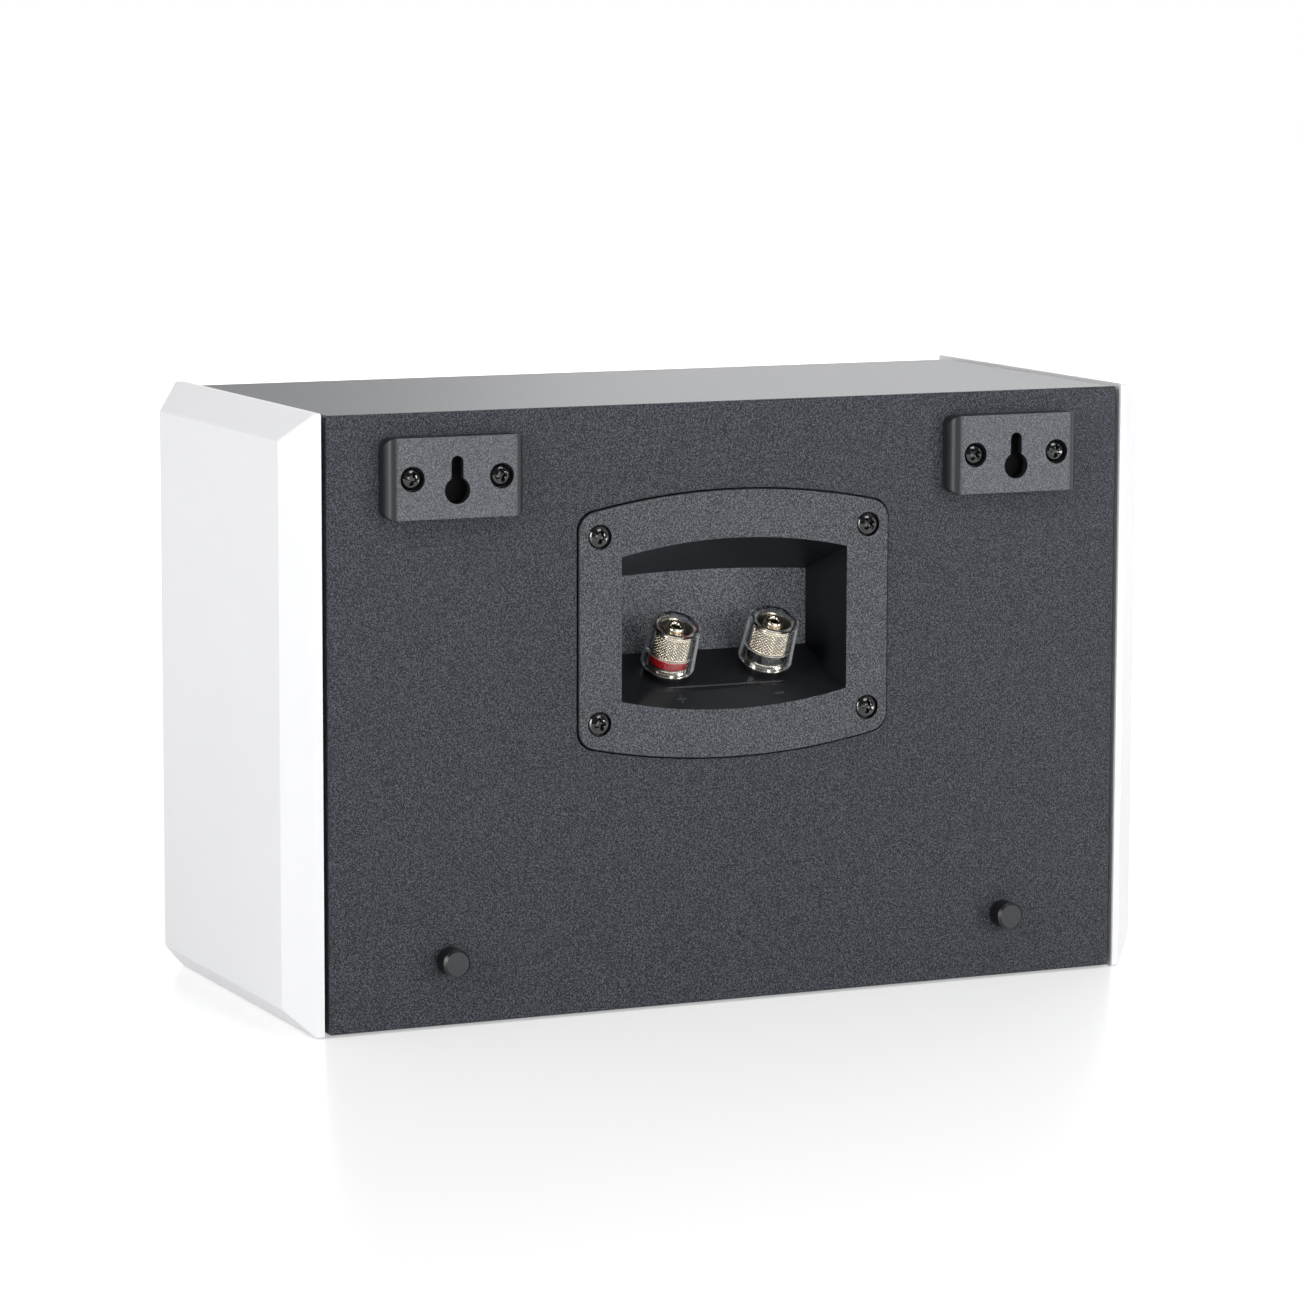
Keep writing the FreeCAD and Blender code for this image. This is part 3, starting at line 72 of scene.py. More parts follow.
# ---- Materials --------------------------------------------------------------------------------
class Finish:
    """A procedural material that is put together node by node."""

    def __init__(self, name, **sockets):
        self.material = bpy.data.materials.new(name)
        self.material.use_nodes = True
        self.tree = self.material.node_tree
        self.tree.nodes.clear()
        self.shader = self.node("BsdfPrincipled")
        self.out = self.node("OutputMaterial")
        self.link(self.shader.outputs[0], self.out.inputs["Surface"])
        self.place = self.node("TexCoord").outputs["Object"]
        # Noise fades on a face that lies on a plane of its grid, so it runs on a turned one.
        askew = self.node("Mapping")
        askew.inputs["Rotation"].default_value = (0.5, 0.7, 0.9)
        self.link(self.place, askew.inputs["Vector"])
        self.askew = askew.outputs["Vector"]
        for socket, value in sockets.items():
            self.set(socket, value)

    def node(self, kind, **settings):
        """A new node, with its settings."""
        made = self.tree.nodes.new("ShaderNode" + kind)
        for setting, value in settings.items():
            setattr(made, setting, value)
        return made

    def link(self, start, end):
        """A link between two sockets."""
        self.tree.links.new(start, end)

    def set(self, socket, value):
        """A value on the shader's own socket, whose name has underscores for spaces."""
        target = self.shader.inputs[socket.replace("_", " ")]
        if isinstance(value, tuple) and len(value) == 3:
            value = (*value, 1.0)
        target.default_value = value

    def stretched(self, scale):
        """The place on the piece, scaled by three factors."""
        mapping = self.node("Mapping")
        mapping.inputs["Scale"].default_value = scale
        self.link(self.place, mapping.inputs["Vector"])
        return mapping.outputs["Vector"]

    def noise(self, size, detail=3.0, rough=0.5, at=None):
        """Noise with features of this size in metres."""
        made = self.node("TexNoise")
        made.inputs["Scale"].default_value = 1 / size
        made.inputs["Detail"].default_value = detail
        made.inputs["Roughness"].default_value = rough
        self.link(at or self.askew, made.inputs["Vector"])
        return made.outputs["Fac"]

    def ramp(self, value, *stops):
        """Colours or greys along a value, from (position, colour) stops."""
        made = self.node("ValToRGB")
        elements = made.color_ramp.elements
        while len(elements) < len(stops):
            elements.new(1.0)
        for element, (position, colour) in zip(elements, stops):
            element.position = position
            colour = (colour,) * 3 if isinstance(colour, (int, float)) else colour
            element.color = (*colour, 1.0)
        self.link(value, made.inputs["Fac"])
        return made.outputs["Color"]

    def flecks(self, value, base, dark, pale):
        """A base colour with darker pits and paler flecks, as shares of the base."""
        return self.ramp(value, (0.41, tuple(dark * c for c in base)), (0.51, base),
                         (0.61, tuple(pale * c for c in base)))

    def math(self, operation, first, second=None):
        """A sum on one or two values."""
        made = self.node("Math", operation=operation)
        for socket, value in zip(made.inputs, (first, second)):
            if isinstance(value, (int, float)):
                socket.default_value = value
            elif value is not None:
                self.link(value, socket)
        return made.outputs[0]

    def mix(self, share, first, second):
        """Two colours mixed by a share."""
        made = self.node("Mix", data_type="RGBA")
        self.link(share, made.inputs[0])
        for socket, value in ((made.inputs[6], first), (made.inputs[7], second)):
            if isinstance(value, tuple):
                socket.default_value = (*value, 1.0)
            else:
                self.link(value, socket)
        return made.outputs[2]

    def colour(self, value):
        """What drives the base colour."""
        self.link(value, self.shader.inputs["Base Color"])
        return self

    def rough(self, value):
        """What drives the roughness."""
        self.link(value, self.shader.inputs["Roughness"])
        return self

    def bump(self, height, depth, strength=1.0):
        """Relief of this depth in metres."""
        made = self.node("Bump")
        made.inputs["Distance"].default_value = depth
        made.inputs["Strength"].default_value = strength
        self.link(height, made.inputs["Height"])
        self.link(made.outputs["Normal"], self.shader.inputs["Normal"])
        return self


def facing_out(finish, start, full):
    """0 where a surface's outward lean is below start, 1 where it is above full."""
    split = finish.node("SeparateXYZ")
    finish.link(finish.node("NewGeometry").outputs["Normal"], split.inputs[0])
    return finish.ramp(split.outputs["Y"], (start, 0.0), (full, 1.0))


def grained_vinyl(look):
    """Dark vinyl wrap with a fine pressed grain and pale flecks."""
    finish = Finish("grained_vinyl", Specular_IOR_Level=0.2, Specular_Tint=(0.93, 0.96, 1.0))
    fine = finish.noise(GRAIN, detail=3.0, rough=0.6)
    broad = finish.noise(9 * MM, detail=2.0)
    flecks = finish.flecks(fine, tuple(look.vinyl), 0.15, 3.5)
    finish.colour(finish.mix(finish.math("MULTIPLY", broad, 0.3), flecks, tuple(look.vinyl)))
    finish.rough(finish.ramp(fine, (0.3, 0.34), (0.7, 0.5)))
    finish.bump(fine, 0.05 * MM, 0.6)
    return finish.material


def moulded_grain(name, colour, smooth, contrast, lean, deep=0.0, gloss=0.25):
    """Dark plastic: spark-eroded grain on what faces out, paler where Y is below deep as painted light, and smooth
    satin elsewhere whose darker colour is partly painted shade.
    """
    finish = Finish(name, Specular_IOR_Level=gloss)
    fine = finish.noise(GRAIN, detail=3.0, rough=0.6)
    grain = finish.flecks(fine, tuple(colour), *contrast)
    face = facing_out(finish, *lean)
    split = finish.node("SeparateXYZ")
    finish.link(finish.place, split.inputs[0])
    pale = finish.flecks(fine, tuple(2.0 * c for c in colour), *contrast)
    # Painted light: below deep the grain takes twice the colour, so the cup's deep wall looks more brightly lit.
    outer = finish.mix(finish.math("LESS_THAN", split.outputs["Y"], deep), grain, pale)
    # What doesn't face out gets the smooth colour: a satin finish, and its darkness is partly painted shade.
    finish.colour(finish.mix(face, tuple(smooth), outer))
    finish.rough(finish.mix(face, (0.3, 0.3, 0.3), (0.5, 0.5, 0.5)))
    finish.bump(finish.math("MULTIPLY", fine, face), 0.05 * MM, 0.8)
    return finish.material


def satin_white(look):
    """Sprayed satin lacquer with the faintest orange peel."""
    finish = Finish("satin_white", Specular_IOR_Level=0.4, Coat_Weight=0.15, Coat_Roughness=0.25)
    base = tuple(look.white)
    peel = finish.noise(2.5 * MM, detail=2.0)
    broad = finish.noise(60 * MM, detail=1.0)
    finish.colour(finish.ramp(broad, (0.3, tuple(0.985 * c for c in base)), (0.7, base)))
    finish.rough(finish.ramp(peel, (0.3, 0.36), (0.7, 0.42)))
    finish.bump(peel, 0.012 * MM, 0.5)
    return finish.material


def bare_board(look):
    """Raw fibreboard, pressed from brown dust."""
    finish = Finish("bare_board", Specular_IOR_Level=0.2)
    base = tuple(look.board)
    fine = finish.noise(0.9 * MM, detail=4.0, rough=0.7)
    finish.colour(finish.ramp(fine, (0.25, tuple(0.6 * c for c in base)), (0.55, base),
                              (0.8, tuple(1.5 * c for c in base))))
    finish.rough(finish.ramp(fine, (0.2, 0.8), (0.8, 0.95)))
    finish.bump(fine, 0.06 * MM, 0.6)
    return finish.material


def metal(name, colour, rough, streak=0.0):
    """Plated or ground metal with fine handling marks."""
    finish = Finish(name, Metallic=1.0)
    marks = finish.noise(0.7 * MM, detail=4.0)
    finish.colour(finish.ramp(marks, (0.2, tuple(0.85 * c for c in colour)), (0.8, colour)))
    finish.rough(finish.ramp(marks, (0.3, max(rough - 0.05, 0.02)), (0.7, rough + 0.06)))
    lines = finish.noise(0.4 * MM, at=finish.stretched((1, 1, 12)))
    finish.bump(lines, 0.01 * MM, 0.2 + streak)
    return finish.material


def knurled_gold(look):
    """Champagne plating on the knurls' points, darkened in the grooves between them as painted shade."""
    finish = Finish("champagne_plate", Metallic=1.0)
    base = tuple(look.gold)
    groove_shade = finish.node("Attribute", attribute_name="groove_shade").outputs["Fac"]
    marks = finish.noise(0.7 * MM, detail=4.0)
    plate = finish.ramp(marks, (0.2, tuple(0.85 * c for c in base)), (0.8, base))
    # Painted shade: the deeper a point lies in a groove, the darker its plating, down to 0.16 of it.
    deep = finish.ramp(groove_shade, (0.3, 0.0), (0.95, 1.0))
    finish.colour(finish.mix(deep, plate, tuple(0.16 * c for c in base)))
    finish.rough(finish.ramp(marks, (0.3, 0.13), (0.7, 0.2)))
    return finish.material


def plastic(name, colour, rough, grain=0.4, depth=0.02, **sockets):
    """Moulded plastic or rubber with a fine skin."""
    finish = Finish(name, **sockets)
    skin = finish.noise(grain * MM, detail=3.0)
    broad = finish.noise(14 * grain * MM, detail=2.0)
    finish.colour(finish.ramp(finish.math("MULTIPLY", skin, finish.math("ADD", broad, 0.5)),
                              (0.2, tuple(0.8 * c for c in colour)), (0.7, tuple(1.15 * c for c in colour))))
    finish.rough(finish.ramp(skin, (0.3, max(rough - 0.05, 0.02)), (0.7, min(rough + 0.07, 1.0))))
    finish.bump(skin, depth * MM, 0.6)
    return finish.material


def clear_cap(look):
    """Clear moulded plastic, with faint flow lines, turning milky towards its silhouettes as a painted sheen for
    the bright edge reflections.
    """
    finish = Finish("clear_cap", Base_Color=tuple(look.clear), Transmission_Weight=1.0, IOR=1.46)
    flow = finish.noise(1.6 * MM, detail=2.0, at=finish.stretched((1, 1, 0.3)))
    finish.rough(finish.ramp(flow, (0.3, 0.01), (0.8, 0.035)))
    # Painted sheen: less light passes through near the silhouettes, so the edges go milky white under the lamps.
    edge = finish.node("LayerWeight")
    clear = finish.ramp(edge.outputs["Facing"], (0.5, 1.0), (0.95, 0.35))
    finish.link(clear, finish.shader.inputs["Transmission Weight"])
    finish.bump(flow, 0.02 * MM, 0.2)
    return finish.material


def woven_cloth(look):
    """Black open-weave cloth: two sets of threads and a little sheen."""
    finish = Finish("woven_cloth", Specular_IOR_Level=0.15, Sheen_Weight=0.25, Sheen_Roughness=0.5)
    split = finish.node("SeparateXYZ")
    finish.link(finish.place, split.inputs[0])
    turn = 2 * math.pi / THREAD_PITCH
    threads = []
    for way in ("X", "Z"):
        run = finish.math("ADD", split.outputs[way], split.outputs["Y"])
        threads.append(finish.math("SINE", finish.math("MULTIPLY", run, turn)))
    over = finish.math("MULTIPLY", *threads)
    fibre = finish.noise(0.25 * MM, detail=3.0)
    base = tuple(look.cloth)
    finish.colour(finish.ramp(finish.math("ADD", over, fibre), (0.1, tuple(0.2 * c for c in base)),
                              (0.9, tuple(2.6 * c for c in base))))
    finish.rough(finish.ramp(fibre, (0.2, 0.75), (0.8, 0.95)))
    finish.bump(finish.math("ADD", over, finish.math("MULTIPLY", fibre, 0.4)), 0.12 * MM, 0.8)
    return finish.material


def fibre(name, colour, size=0.6, depth=0.1):
    """Pressed or loose fibre: paper, silk, wool or treated cloth."""
    finish = Finish(name, Specular_IOR_Level=0.2, Sheen_Weight=0.2)
    hairs = finish.noise(size * MM, detail=6.0, rough=0.7, at=finish.stretched((1, 0.4, 1.6)))
    finish.colour(finish.ramp(hairs, (0.25, tuple(0.6 * c for c in colour)),
                              (0.75, tuple(1.3 * c for c in colour))))
    finish.rough(finish.ramp(hairs, (0.2, 0.7), (0.8, 0.95)))
    finish.bump(hairs, depth * MM, 0.7)
    return finish.material


def dress(material, *nodes):
    """The material on each of these nodes."""
    for name in nodes:
        node = NODES[name]
        node.data.materials.clear()
        node.data.materials.append(material)


# ---- Meshes -----------------------------------------------------------------------------------
def new_piece(name, mesh, material, body=CABINET):
    """A piece from a finished bmesh or mesh, with its material, riding on a body."""
    if isinstance(mesh, bmesh.types.BMesh):
        data = bpy.data.meshes.new(name)
        mesh.to_mesh(data)
        mesh.free()
        mesh = data
    piece = bpy.data.objects.new(name, mesh)
    bpy.context.scene.collection.objects.link(piece)
    piece.data.materials.append(material)
    for polygon in piece.data.polygons:
        polygon.use_smooth = True
    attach(piece, body)
    return piece


def post_axis(colour):
    """A post's own frame: the foot of its axis, with Z along the axis."""
    joint = next(j for j in frame["joints"] if j["name"] == colour + "_cap_turn")
    along = Vector(joint["axis"]).normalized()
    across = Vector((1, 0, 0))
    turn = Matrix((across, along.cross(across), along)).transposed().to_4x4()
    return Matrix.Translation(Vector(joint["pos_m"])) @ turn


def reach(node, axis):
    """A turned node's lowest and highest point along its axis, and its radius."""
    back = axis.inverted()
    points = [back @ v.co for v in NODES[node].data.vertices]
    heights = [p.z for p in points]
    return min(heights), max(heights), max(math.hypot(p.x, p.y) for p in points)


def turned_mesh(outline, steps, shape=None):
    """A closed turned mesh from (radius, height) points. shape(angle, height) adds to a radius."""
    mesh = bmesh.new()
    rings = []
    for radius, height in outline:
        ring = []
        for step in range(steps):
            angle = 2 * math.pi * step / steps
            r = radius + (shape(angle, height) if shape else 0.0)
            ring.append(mesh.verts.new((r * math.cos(angle), r * math.sin(angle), height)))
        rings.append(ring)
    for low, high in zip(rings, rings[1:] + rings[:1]):
        for step in range(steps):
            after = (step + 1) % steps
            mesh.faces.new((low[step], low[after], high[after], high[step]))
    bmesh.ops.recalc_face_normals(mesh, faces=mesh.faces)
    return mesh


# ---- Settings ---------------------------------------------------------------------------------
def colour_property(name, description, value):
    """A colour that a user may change."""
    return FloatVectorProperty(name=name, description=description, default=value, subtype="COLOR",
                               min=0, max=1)


class SPEAKER_PG_looks(bpy.types.PropertyGroup):
    """Colours of the speaker's finishes."""

    vinyl: colour_property("Vinyl", "Cabinet wrap", (0.030, 0.033, 0.039))
    plastic: colour_property("Grained plastic", "Cup flange", (0.055, 0.059, 0.067))
    bracket: colour_property("Bracket plastic", "Keyhole brackets", (0.080, 0.087, 0.098))
    # Smooth satin inside the cup; its darkness is partly painted shade on the recess walls.
    smooth_shaded_plastic: colour_property("Smooth plastic", "Inside of the cup", (0.010, 0.011, 0.013))
    white: colour_property("White lacquer", "Cheeks", (0.83, 0.834, 0.852))
    board: colour_property("Fibreboard", "Raw board", (0.12, 0.07, 0.045))
    clear: colour_property("Clear plastic", "Post caps", (0.95, 0.97, 0.98))
    gold: colour_property("Champagne plating", "Knurled sleeves of the posts", (0.86, 0.76, 0.60))
    cloth: colour_property("Grille cloth", "Cloth over the front", (0.018, 0.018, 0.02))


class SPEAKER_PG_details(bpy.types.PropertyGroup):
    """Sizes of the fine pieces."""

    knurl_rows: IntProperty(name="Knurls", description="Knurls round a sleeve", default=34, min=12)
    knurl_depth: FloatProperty(name="Knurl depth", description="Depth of the knurling", default=0.45 * MM,
                               unit="LENGTH")
    mark_size: FloatProperty(name="Mark size", description="Length of a polarity mark's bars",
                             default=3.2 * MM, unit="LENGTH")
    mark_inset: FloatProperty(name="Mark inset", description="From the cup's face to a mark's middle",
                              default=3.2 * MM, unit="LENGTH")
    head_height: FloatProperty(name="Screw head", description="Height of a pan screw's head",
                               default=2.4 * MM, unit="LENGTH")
    rib_length: FloatProperty(name="Rib length", description="Length of the rib on the shelf",
                              default=42 * MM, unit="LENGTH")
    rib_radius: FloatProperty(name="Rib radius", description="Radius of the rib on the shelf",
                              default=0.45 * MM, unit="LENGTH")
    rib_reach: FloatProperty(name="Rib reach", description="From the posts' feet to the rib, down the shelf",
                             default=9.2 * MM, unit="LENGTH")
    rib_sink: FloatProperty(name="Rib sink", description="From the posts' feet down to the rib's middle",
                            default=1.5 * MM, unit="LENGTH")
    mark_rise: FloatProperty(name="Mark rise", description="How far a mark stands up", default=0.25 * MM,
                             unit="LENGTH")


class SPEAKER_PG_stage(bpy.types.PropertyGroup):
    """Lamps, floor and camera."""

    lens: FloatProperty(name="Lens", description="Focal length in millimetres", default=139.26)
    azimuth: FloatProperty(name="Azimuth", description="Camera's turn round the speaker, in degrees",
                           default=155.588)
    elevation: FloatProperty(name="Elevation", description="Camera's tilt down, in degrees", default=7.925)
    roll: FloatProperty(name="Roll", description="Camera's roll, in degrees", default=0.152)
    camera: FloatVectorProperty(name="Camera", description="Camera's place", subtype="TRANSLATION",
                                unit="LENGTH", default=(0.67596, 1.48539, 0.33290))
    lamp_power: FloatProperty(name="Lamp power", description="Power of the large soft lamp", default=31.0,
                              unit="POWER")


# ---- Operators --------------------------------------------------------------------------------
class SPEAKER_OT_cabinet(bpy.types.Operator):
    """Finish the cabinet's boards."""

    bl_idname = "speaker.cabinet"
    bl_label = "Cabinet"

    def execute(self, context):
        looks = context.scene.speaker_looks
        dress(grained_vinyl(looks), "cabinet_shell", "back_panel")
        dress(bare_board(looks), "front_baffle", "cabinet_brace", "cheek_spacers")
        return {"FINISHED"}


class SPEAKER_OT_cheeks(bpy.types.Operator):
    """Finish the white cheeks."""

    bl_idname = "speaker.cheeks"
    bl_label = "Cheeks"

    def execute(self, context):
        dress(satin_white(context.scene.speaker_looks), "left_cheek", "right_cheek")
        return {"FINISHED"}


class SPEAKER_OT_terminal_cup(bpy.types.Operator):
    """Finish the terminal cup and put plus and minus signs on its lip."""

    bl_idname = "speaker.terminal_cup"
    bl_label = "Terminal Cup"

    def execute(self, context):
        looks, details = context.scene.speaker_looks, context.scene.speaker_details
        # The cup's deep wall is painted paler as painted light; the darker smooth colour on its inner walls is
        # partly painted shade.
        dress(moulded_grain("cup_plastic", looks.plastic, looks.smooth_shaded_plastic, (0.3, 2.6), (0.9, 0.98),
                            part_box("terminal_cup")[1].y - PAINTED_LIGHT_DEPTH), "terminal_cup")
        dress(plastic("cup_seal", (0.004, 0.004, 0.005), 0.8, Specular_IOR_Level=0.1), "cup_gasket")
        ink = plastic("raised_mark", (0.03, 0.031, 0.034), 0.3)
        for colour, bars in (("red", 2), ("black", 1)):
            self.mark(colour, bars, details, ink)
        self.rib(details)
        return {"FINISHED"}

    def rib(self, details):
        """A low rounded rib along the front of the shelf."""
        axis = post_axis("red")
        middle = Vector((0, axis.translation.y, axis.translation.z))
        downhill = (axis.to_3x3() @ Vector((0, 1, 0))).normalized()
        up = (axis.to_3x3() @ Vector((0, 0, 1))).normalized()
        line = middle + downhill * details.rib_reach - up * details.rib_sink
        mesh = bmesh.new()
        rings, steps, half = 24, 12, details.rib_length / 2
        loops = []
        for i in range(rings + 1):
            along = -half + 2 * half * i / rings
            r = details.rib_radius * max(1 - abs(along / half) ** 6, 0.02) ** 0.5
            place = line + Vector((along, 0, 0))
            loops.append([mesh.verts.new(place + r * math.cos(a) * downhill + r * math.sin(a) * up)
                          for a in (2 * math.pi * j / steps for j in range(steps))])
        for one, two in zip(loops, loops[1:]):
            for j in range(steps):
                mesh.faces.new((one[j], one[(j + 1) % steps], two[(j + 1) % steps], two[j]))
        mesh.faces.new(loops[0][::-1])
        mesh.faces.new(loops[-1])
        bmesh.ops.recalc_face_normals(mesh, faces=mesh.faces)
        new_piece("shelf_rib", mesh, plastic("rib_plastic", (0.012, 0.013, 0.015), 0.25))

    def mark(self, colour, bars, details, ink):
        """One or two crossed bars on the lip in front of a post."""
        cup = NODES["terminal_cup"]
        tree = BVHTree.FromPolygons([v.co for v in cup.data.vertices],
                                    [tuple(p.vertices) for p in cup.data.polygons])
        foot = post_axis(colour).translation
        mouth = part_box("terminal_cup")[1].y
        over_lip = Vector((foot.x, mouth - details.mark_inset, foot.z))
        spot, normal, _, _ = tree.ray_cast(over_lip, Vector((0, 0, -1)))
        if spot is None:
            raise RuntimeError("no lip under the mark")
        if normal.z < 0:
            normal = -normal
        across = Vector((1, 0, 0))
        turn = Matrix((across, normal.cross(across), normal)).transposed().to_4x4()
        mesh = bmesh.new()
        half, rise = details.mark_size / 2, details.mark_rise
        for bar in range(bars):
            made = bmesh.ops.create_cube(mesh, size=1.0)
            size = Vector((2 * half, 0.22 * 2 * half, 2 * rise))
            spin = Matrix.Rotation(math.pi / 2 * bar, 4, "Z")
            bmesh.ops.transform(mesh, matrix=spin @ Matrix.Diagonal((*size, 1)), verts=made["verts"])
        bmesh.ops.transform(mesh, matrix=Matrix.Translation(spot) @ turn, verts=mesh.verts)
        piece = new_piece(colour + "_polarity_mark", mesh, ink)
        for polygon in piece.data.polygons:
            polygon.use_smooth = False
        edge = piece.modifiers.new("soft_edge", "BEVEL")
        edge.width = 0.06 * MM
        edge.segments = 2


class SPEAKER_OT_posts(bpy.types.Operator):
    """Finish the binding posts and cut their knurled sleeves."""

    bl_idname = "speaker.posts"
    bl_label = "Binding Posts"

    def execute(self, context):
        looks, details = context.scene.speaker_looks, context.scene.speaker_details
        plate = metal("bright_plate", (0.85, 0.79, 0.68), 0.14)
        dress(plate, "post_studs", "post_collars", "post_nuts", "solder_tags", "red_post_washer",
              "black_post_washer")
        dress(plastic("red_ring", (0.50, 0.012, 0.014), 0.25), "red_post_ring")
        dress(plastic("black_ring", (0.012, 0.012, 0.013), 0.25), "black_post_ring")
        dress(clear_cap(looks), "red_post_cap", "black_post_cap")
        gold = knurled_gold(looks)
        for colour in ("red", "black"):
            self.sleeve(colour, details, gold)
            self.rim(colour, plate)
        return {"FINISHED"}

    def sleeve(self, colour, details, material):
        """A sleeve with diamond knurling and a stepped hollow in its end."""
        node = colour + "_post_sleeve"
        axis = post_axis(colour)
        low, high, radius = reach(node, axis)
        bore = 3.1 * MM
        start, stop = low + 0.6 * MM, high - 1.2 * MM
        rows = 64
        knurled = [(radius - 0.1 * MM, start + (stop - start) * i / rows) for i in range(rows + 1)]
        end = [(radius - 0.3 * MM, stop + 0.15 * MM), (radius - 0.3 * MM, stop + 0.4 * MM),
               (radius - 0.08 * MM, stop + 0.6 * MM), (radius - 0.08 * MM, high - 0.3 * MM),
               (radius - 0.3 * MM, high - 0.04 * MM), (radius - 0.45 * MM, high),
               (radius - 0.6 * MM, high - 0.04 * MM),
               (radius - 0.75 * MM, high - 0.3 * MM), (radius - 0.9 * MM, high - 0.36 * MM),
               (bore + 0.5 * MM, high - 0.36 * MM), (bore + 0.15 * MM, high - 0.5 * MM),
               (bore, high - 0.75 * MM)]
        foot = [(bore, low), (radius - 0.4 * MM, low), (radius - 0.15 * MM, low + 0.2 * MM),
                (radius - 0.15 * MM, low + 0.5 * MM)]
        pitch = 2 * math.pi * radius / details.knurl_rows

        def diamonds(angle, height):
            if not start < height < stop:
                return 0.0
            around = angle * radius
            one = abs(((around + height) / pitch) % 1.0 - 0.5) * 2
            two = abs(((around - height) / pitch) % 1.0 - 0.5) * 2
            return -details.knurl_depth * max(one, two) ** 1.2

        mesh = turned_mesh(foot + knurled + end, 14 * details.knurl_rows, diamonds)
        # How deep each point lies in a groove, kept for the plating's painted shade.
        groove_shade = mesh.verts.layers.float.new("groove_shade")
        for vert in mesh.verts:
            angle = math.atan2(vert.co.y, vert.co.x)
            vert[groove_shade] = -diamonds(angle, vert.co.z) / details.knurl_depth
        bmesh.ops.transform(mesh, matrix=axis, verts=mesh.verts)
        piece = new_piece(colour + "_knurled_sleeve", mesh, material, colour + "_cap")
        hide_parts(node)

    def rim(self, colour, material):
        """A rounded lip round the plug socket in a stud's end."""
        axis = post_axis(colour)
        back = axis.inverted()
        near = [back @ v.co for v in NODES["post_studs"].data.vertices]
        top = max(p.z for p in near if math.hypot(p.x, p.y) < STUD_REACH)
        inner, outer, lift, steps = 1.5 * MM, 2.9 * MM, 0.75 * MM, 12
        middle, half = (inner + outer) / 2, (outer - inner) / 2
        outline = [(middle + half * math.cos(a), top + lift * math.sin(a))
                   for a in (math.pi * i / steps for i in range(steps + 1))]
        outline += [(inner, top - 0.3 * MM), (outer, top - 0.3 * MM)]
        mesh = turned_mesh(outline, 64)
        bmesh.ops.transform(mesh, matrix=axis, verts=mesh.verts)
        new_piece(colour + "_socket_rim", mesh, material)


